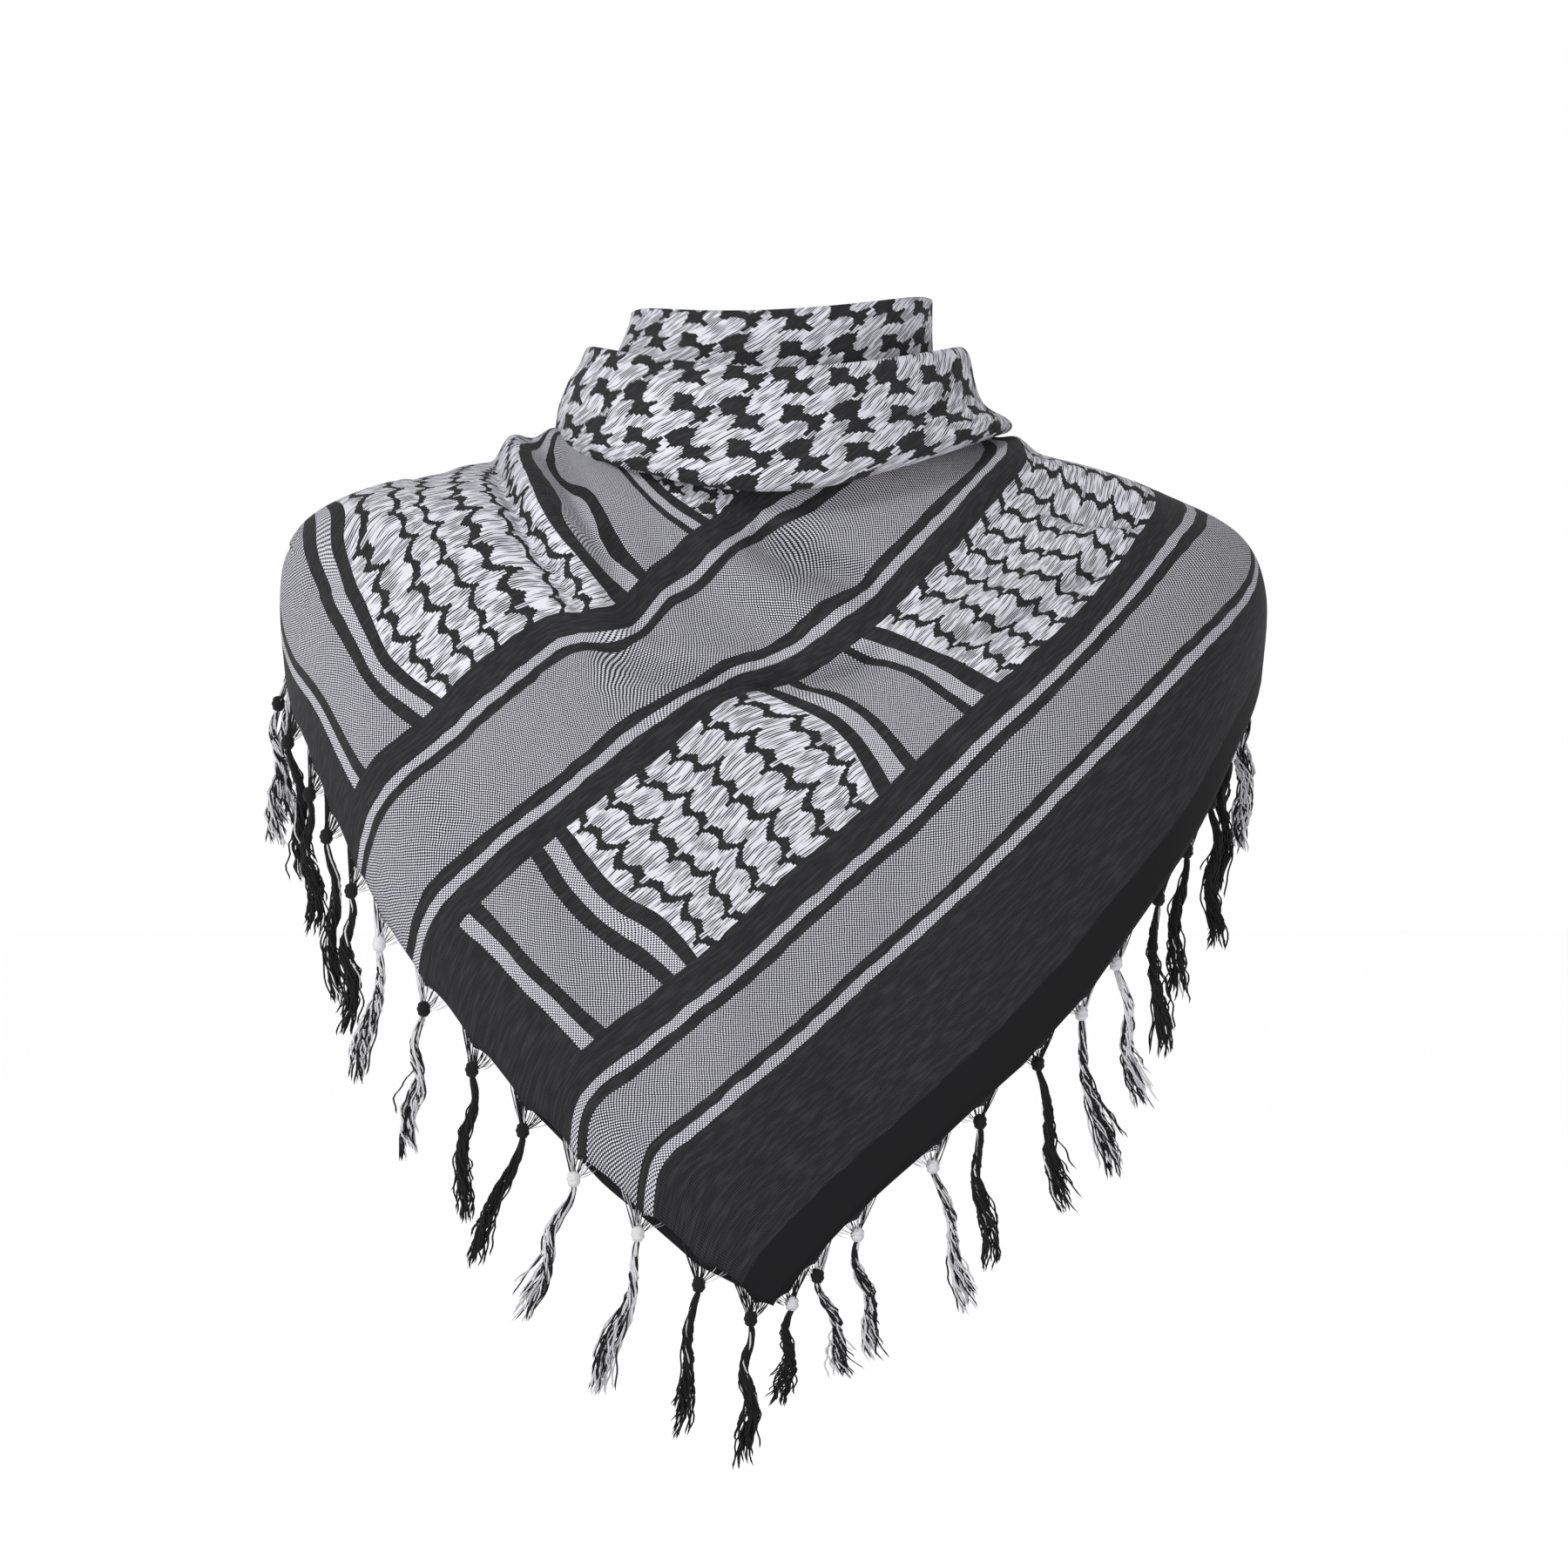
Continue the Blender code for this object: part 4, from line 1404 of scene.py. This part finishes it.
@dataclass(frozen=True)
class Knot:
    """A wrapped knot, in mm: an upright oval turned round its axis, with the ripples of its
    wraps, sin(wraps times the angle down), closed at both poles."""

    rows: int = 25
    columns: int = 14
    radius: float = 3.3
    height: float = 8.5
    bluntness: float = 0.7
    wraps: float = 4.0
    relief: float = 0.5

    def surface(self, middle: np.ndarray) -> tuple[np.ndarray, np.ndarray]:
        """The points of a knot, in metres, and their quads."""
        down = np.linspace(0, np.pi, self.rows)[:, None]
        turn = np.linspace(0, 2 * np.pi, self.columns, endpoint=False)
        ripple = self.relief * np.abs(np.sin(self.wraps * down + turn / 2))
        radius = (self.radius + ripple) * np.sin(down) ** self.bluntness * MM
        points = np.empty((self.rows, self.columns, 3))
        points[..., 0] = middle[0] + radius * np.cos(turn)
        points[..., 1] = middle[1] + radius * np.sin(turn)
        points[..., 2] = middle[2] + self.height / 2 * MM * np.cos(down)
        corner = np.arange(self.rows * self.columns).reshape(self.rows, self.columns)
        after = np.roll(corner, -1, axis=1)
        quads = [corner[:-1], corner[1:], after[1:], after[:-1]]
        return points.reshape(-1, 3), np.stack(quads, axis=-1).reshape(-1, 4)


@dataclass(frozen=True)
class Bunch:
    """The loose strands of a tassel, in mm. Each one leaves the knot's foot, widens away from
    the middle of the bunch, turns slowly round it and curls in small circles, while the bunch
    leans and sways."""

    strands: int = 40
    points: int = 26
    radius: float = 0.5
    # how far under the knot's middle they start, and their lengths, as shares of the tassel's
    foot: float = 2.55
    shortest: float = 0.70
    longer: float = 0.36
    length_power: float = 0.6
    # how far from the middle they lie, and the share of that at the knot, with what it gains on
    # the way down and at the ends, each with its power
    nearest: float = 0.6
    width: float = 2.7
    at_knot: float = 0.35
    on_way: float = 0.45
    on_way_power: float = 0.6
    at_ends: float = 0.8
    at_ends_power: int = 4
    # radians that a strand turns round the middle
    twist: float = 3.0
    # the circles that it curls in: their radius, the share of it that each strand has, how soon
    # they are full, and how many there are
    curl: float = 0.8
    least_curl: float = 0.4
    curl_onset: float = 3.0
    fewest_curls: float = 3.0
    more_curls: float = 4.0
    # one strand in fourteen strays outwards
    stray_above: float = 0.93
    stray: float = 5.0
    # the sway from side to side, the half waves in it, and its share in depth
    sway: float = 2.4
    half_waves: tuple[float, float] = (1.5, 3.5)
    phases: float = 6.0
    sway_depth: float = 0.6
    lean_power: float = 1.2

    def paths(
        self, knot: np.ndarray, hang: float, lean: float, rng: np.random.Generator
    ) -> np.ndarray:
        """The strands' courses.

        Args:
            knot: the middle of the knot, in metres.
            hang: the tassel's length, in mm.
            lean: how far its end lies to the right, in mm.
            rng: where the random numbers come from.

        Returns:
            Strands by points by 3, in metres.
        """
        share = np.linspace(0, 1, self.points)
        random = rng.uniform(0, 1, (7, self.strands, 1))
        reach = hang * (self.shortest + self.longer * random[0] ** self.length_power)
        away = self.nearest + self.width * np.sqrt(random[1])
        turn = 2 * np.pi * random[2] + self.twist * share
        gain = self.on_way * share**self.on_way_power + self.at_ends * share**self.at_ends_power
        spread = away * (self.at_knot + gain)
        spread_x = spread + (random[6] > self.stray_above) * share**2 * self.stray
        curl = self.curl * (self.least_curl + random[3])
        curl = curl * np.minimum(1, share * self.curl_onset)
        curls = self.fewest_curls + self.more_curls * random[5]
        phase = 2 * np.pi * (random[4] + curls * share)
        half_waves = rng.uniform(*self.half_waves)
        sway = self.sway * np.sin(half_waves * np.pi * share + rng.uniform(0, self.phases))
        sway = sway - sway[0]
        paths = np.empty((self.strands, self.points, 3))
        paths[..., 0] = lean * share**self.lean_power + sway + spread_x * np.cos(turn)
        paths[..., 0] += curl * np.cos(phase)
        paths[..., 1] = self.sway_depth * sway[::-1] * share + spread * np.sin(turn)
        paths[..., 1] += curl * np.sin(phase)
        paths[..., 2] = -self.foot - reach * share
        return knot + paths * MM


@dataclass
class TasselRow:
    """The tassels of one side of the square, in mm where a name says no other. Each one gathers
    threads of the hem into a wrapped knot, from which loose curly strands hang."""

    side: Side
    drape: Drape
    gather: Gather = Gather()
    knot: Knot = Knot()
    bunch: Bunch = Bunch()
    # behind, tassels are alike, and of each cycle's tassels these are mixed ones
    length_behind: float = 74.0
    cycle: int = 5
    mixed_behind: tuple[int, int] = (2, 3)
    hem_columns: tuple[int, int] = (301, 90)
    hem_limit: float = 84.0
    dip: float = 5.6
    inset: dict[Side, float] = field(default_factory=lambda: {Side.LEFT: 0.4, Side.RIGHT: 2.6})
    drop: dict[Side, float] = field(default_factory=lambda: {Side.LEFT: 12.0, Side.RIGHT: 8.0})
    stand_off: dict[Side, float] = field(
        default_factory=lambda: {Side.LEFT: 4.5, Side.RIGHT: -4.0}
    )

    def rows(self) -> list[tuple]:
        """This side's rows of the table: those in front, then equal ones behind."""
        rows = [row for row in TASSELS if row[0] is self.side]
        for along in knot_places(self.side)[len(rows):]:
            mixed = len(rows) % self.cycle in self.mixed_behind
            threads = Threads.MIXED if mixed else Threads.BLACK
            rows.append((self.side, along, self.length_behind, 0, threads, threads))
        return rows

    def hem_line(self) -> tuple[np.ndarray, np.ndarray]:
        """The hem from the corner round to the nape, as points and outward normals."""
        azimuth = Grid(2, *self.hem_columns, self.hem_limit).azimuths()
        hem = self.drape.hem_height(azimuth)
        normals = self.drape.form.normal(azimuth, self.drape.ring_at_height(azimuth, hem))
        if self.side is Side.RIGHT:
            hem = hem - self.drape.under_drop(azimuth)
        hem = self.drape.dipped(azimuth, hem, self.side, self.dip * MM)
        inset = self.inset[self.side] * MM
        points = hanging_points(self.drape, azimuth, hem, 2, inset)[-1]
        if self.side is Side.LEFT:
            return points[azimuth <= 0][::-1], normals[azimuth <= 0][::-1]
        return points[azimuth >= 0], normals[azimuth >= 0]

    def build(self) -> list[bpy.types.Object]:
        """Makes the row of tassels."""
        line, normals = self.hem_line()
        length = arc_lengths(line)
        finishes = {
            kind: Threadwork(f"{kind.value}_cotton").material()
            for kind in (Threads.BLACK, Threads.MIXED)
        }
        made = []
        for number, (_, along, hang, lean, threads, wrap) in enumerate(self.rows(), start=1):
            place = np.array([np.interp(along * MM, length, line[:, i]) for i in range(3)])
            normal = np.array([np.interp(along * MM, length, normals[:, i]) for i in range(3)])
            rng = np.random.default_rng(SEEDS[self.side] + number)
            knot = place + np.array([0, 0, -self.drop[self.side] * MM])
            knot = knot + normal * self.stand_off[self.side] * MM
            gathered = self.gather.paths(line, length, along, knot, rng)
            loose = self.bunch.paths(knot, hang, lean, rng)
            points, quads, pale, first = [], [], [], 0
            for (some, faces), kind, count in (
                (tubes(gathered, self.gather.radius * MM), threads, self.gather.threads),
                (self.knot.surface(knot), wrap, 1),
                (tubes(loose, self.bunch.radius * MM), threads, self.bunch.strands),
            ):
                points.append(some)
                quads.append(faces + first)
                white = rng.uniform(0, 1, count) < PALE_SHARE[kind]
                pale.append(np.repeat(white, len(some) // count))
                first += len(some)
            name = f"tassel_{self.side.value}_{number:02d}"
            piece = piece_mesh(f"{name}_threads", np.concatenate(points), quads)
            layer = piece.data.attributes.new("Pale", "FLOAT", "POINT")
            layer.data.foreach_set("value", np.concatenate(pale).astype(np.float32))
            piece.data.materials.append(finishes[threads])
            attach(piece, BODY)
            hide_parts(name)
            made.append(piece)
        return made


@dataclass
class Studio:
    """A pale floor, a soft key light, a white world and the camera."""

    width: float = 0.848
    sensor: float = 36.0
    clip_end: float = 100.0
    key_place: tuple[float, float, float] = (-1.7, -2.1, 2.0)
    key_aim: tuple[float, float, float] = (0.0, 0.0, -0.2)
    key_size: float = 0.7
    key_power: float = 55.0
    floor_height: float = -0.66
    floor_reach: float = 30.0
    floor_colour: tuple[float, float, float] = (0.85, 0.85, 0.86)
    # farther out the floor glows, so that it reads as white paper there
    floor_glow: float = 0.6
    glow_from: float = 0.2
    glow_to: float = 0.7
    # the world's strength level with the scarf and high up or low down, and the heights of a
    # direction between which it goes from one to the other
    backdrop: float = 1.0
    room: float = 0.44
    level_to: float = 0.1
    room_from: float = 0.2667

    def floor(self) -> None:
        """Makes the floor."""
        reach, height = self.floor_reach, self.floor_height
        mesh = bpy.data.meshes.new("floor")
        corners = [(-reach, -reach), (reach, -reach), (reach, reach), (-reach, reach)]
        mesh.from_pydata([(x, y, height) for x, y in corners], [], [(0, 1, 2, 3)])
        floor = bpy.data.objects.new("floor", mesh)
        bpy.context.scene.collection.objects.link(floor)
        material, tree, shader = new_material("floor")
        shader.inputs["Base Color"].default_value = (*self.floor_colour, 1.0)
        shader.inputs["Roughness"].default_value = 1.0
        shader.inputs["Specular IOR Level"].default_value = 0.0
        shader.inputs["Emission Color"].default_value = (1.0, 1.0, 1.0, 1.0)
        place = tree.nodes.new("ShaderNodeTexCoord")
        away = tree.nodes.new("ShaderNodeVectorMath")
        away.operation = "LENGTH"
        tree.links.new(place.outputs["Object"], away.inputs[0])
        near = float(np.hypot(self.glow_from, height))
        far = float(np.hypot(self.glow_to, height))
        share = (Value(tree, away.outputs["Value"]) - near) / (far - near)
        share = share.clamped() * self.floor_glow
        tree.links.new(share.socket, shader.inputs["Emission Strength"])
        mesh.materials.append(material)

    def light(self) -> None:
        """Makes the key light, a soft square one that shines at the scarf."""
        lamp = bpy.data.lights.new("key", "AREA")
        lamp.size = self.key_size
        lamp.energy = self.key_power
        obj = bpy.data.objects.new("key", lamp)
        obj.location = self.key_place
        towards = Vector(self.key_aim) - Vector(self.key_place)
        obj.rotation_euler = towards.to_track_quat("-Z", "Y").to_euler()
        bpy.context.scene.collection.objects.link(obj)

    def world(self) -> None:
        """Makes the world, white round about and greyer above and below."""
        world = bpy.data.worlds.new("studio")
        world.use_nodes = True
        tree = world.node_tree
        background = tree.nodes["Background"]
        background.inputs["Color"].default_value = (1, 1, 1, 1)
        place = tree.nodes.new("ShaderNodeTexCoord")
        parts = tree.nodes.new("ShaderNodeSeparateXYZ")
        tree.links.new(place.outputs["Generated"], parts.inputs["Vector"])
        level = Value(tree, parts.outputs["Z"]).math("ABSOLUTE")
        round_about = ((level - self.room_from) / (self.level_to - self.room_from)).clamped()
        strength = round_about * (self.backdrop - self.room) + self.room
        tree.links.new(strength.socket, background.inputs["Strength"])
        bpy.context.scene.world = world

    def camera(self) -> None:
        """Makes the camera, which looks along +Y."""
        camera = bpy.data.cameras.new("camera")
        camera.sensor_width = self.sensor
        camera.lens = self.sensor * (EYE_DISTANCE + EYE_PLANE) / self.width
        camera.clip_end = self.clip_end
        view = bpy.data.objects.new("camera", camera)
        view.location = (EYE[0], -EYE_DISTANCE, EYE[1])
        view.rotation_euler = Vector((0, 1, 0)).to_track_quat("-Z", "Y").to_euler()
        bpy.context.scene.collection.objects.link(view)
        bpy.context.scene.camera = view

    def build(self) -> None:
        """Makes the stage."""
        bpy.context.scene.view_settings.view_transform = "Standard"
        self.floor()
        self.world()
        self.light()
        self.camera()


def main() -> None:
    """Builds the pieces in order and reports each one."""
    logging.basicConfig(level=logging.INFO, format="%(message)s")
    drape = Drape()
    for piece in HangingLayers(drape).build():
        LOG.info("%s: %d faces", piece.name, len(piece.data.polygons))
    for maker in (NeckRoll(), NeckBand()):
        piece = maker.build()
        LOG.info("%s: %d faces", piece.name, len(piece.data.polygons))
    for side in Side:
        made = TasselRow(side, drape).build()
        LOG.info("%s tassels: %d", side.value, len(made))
    Studio().build()


if __name__ == "__main__":
    main()
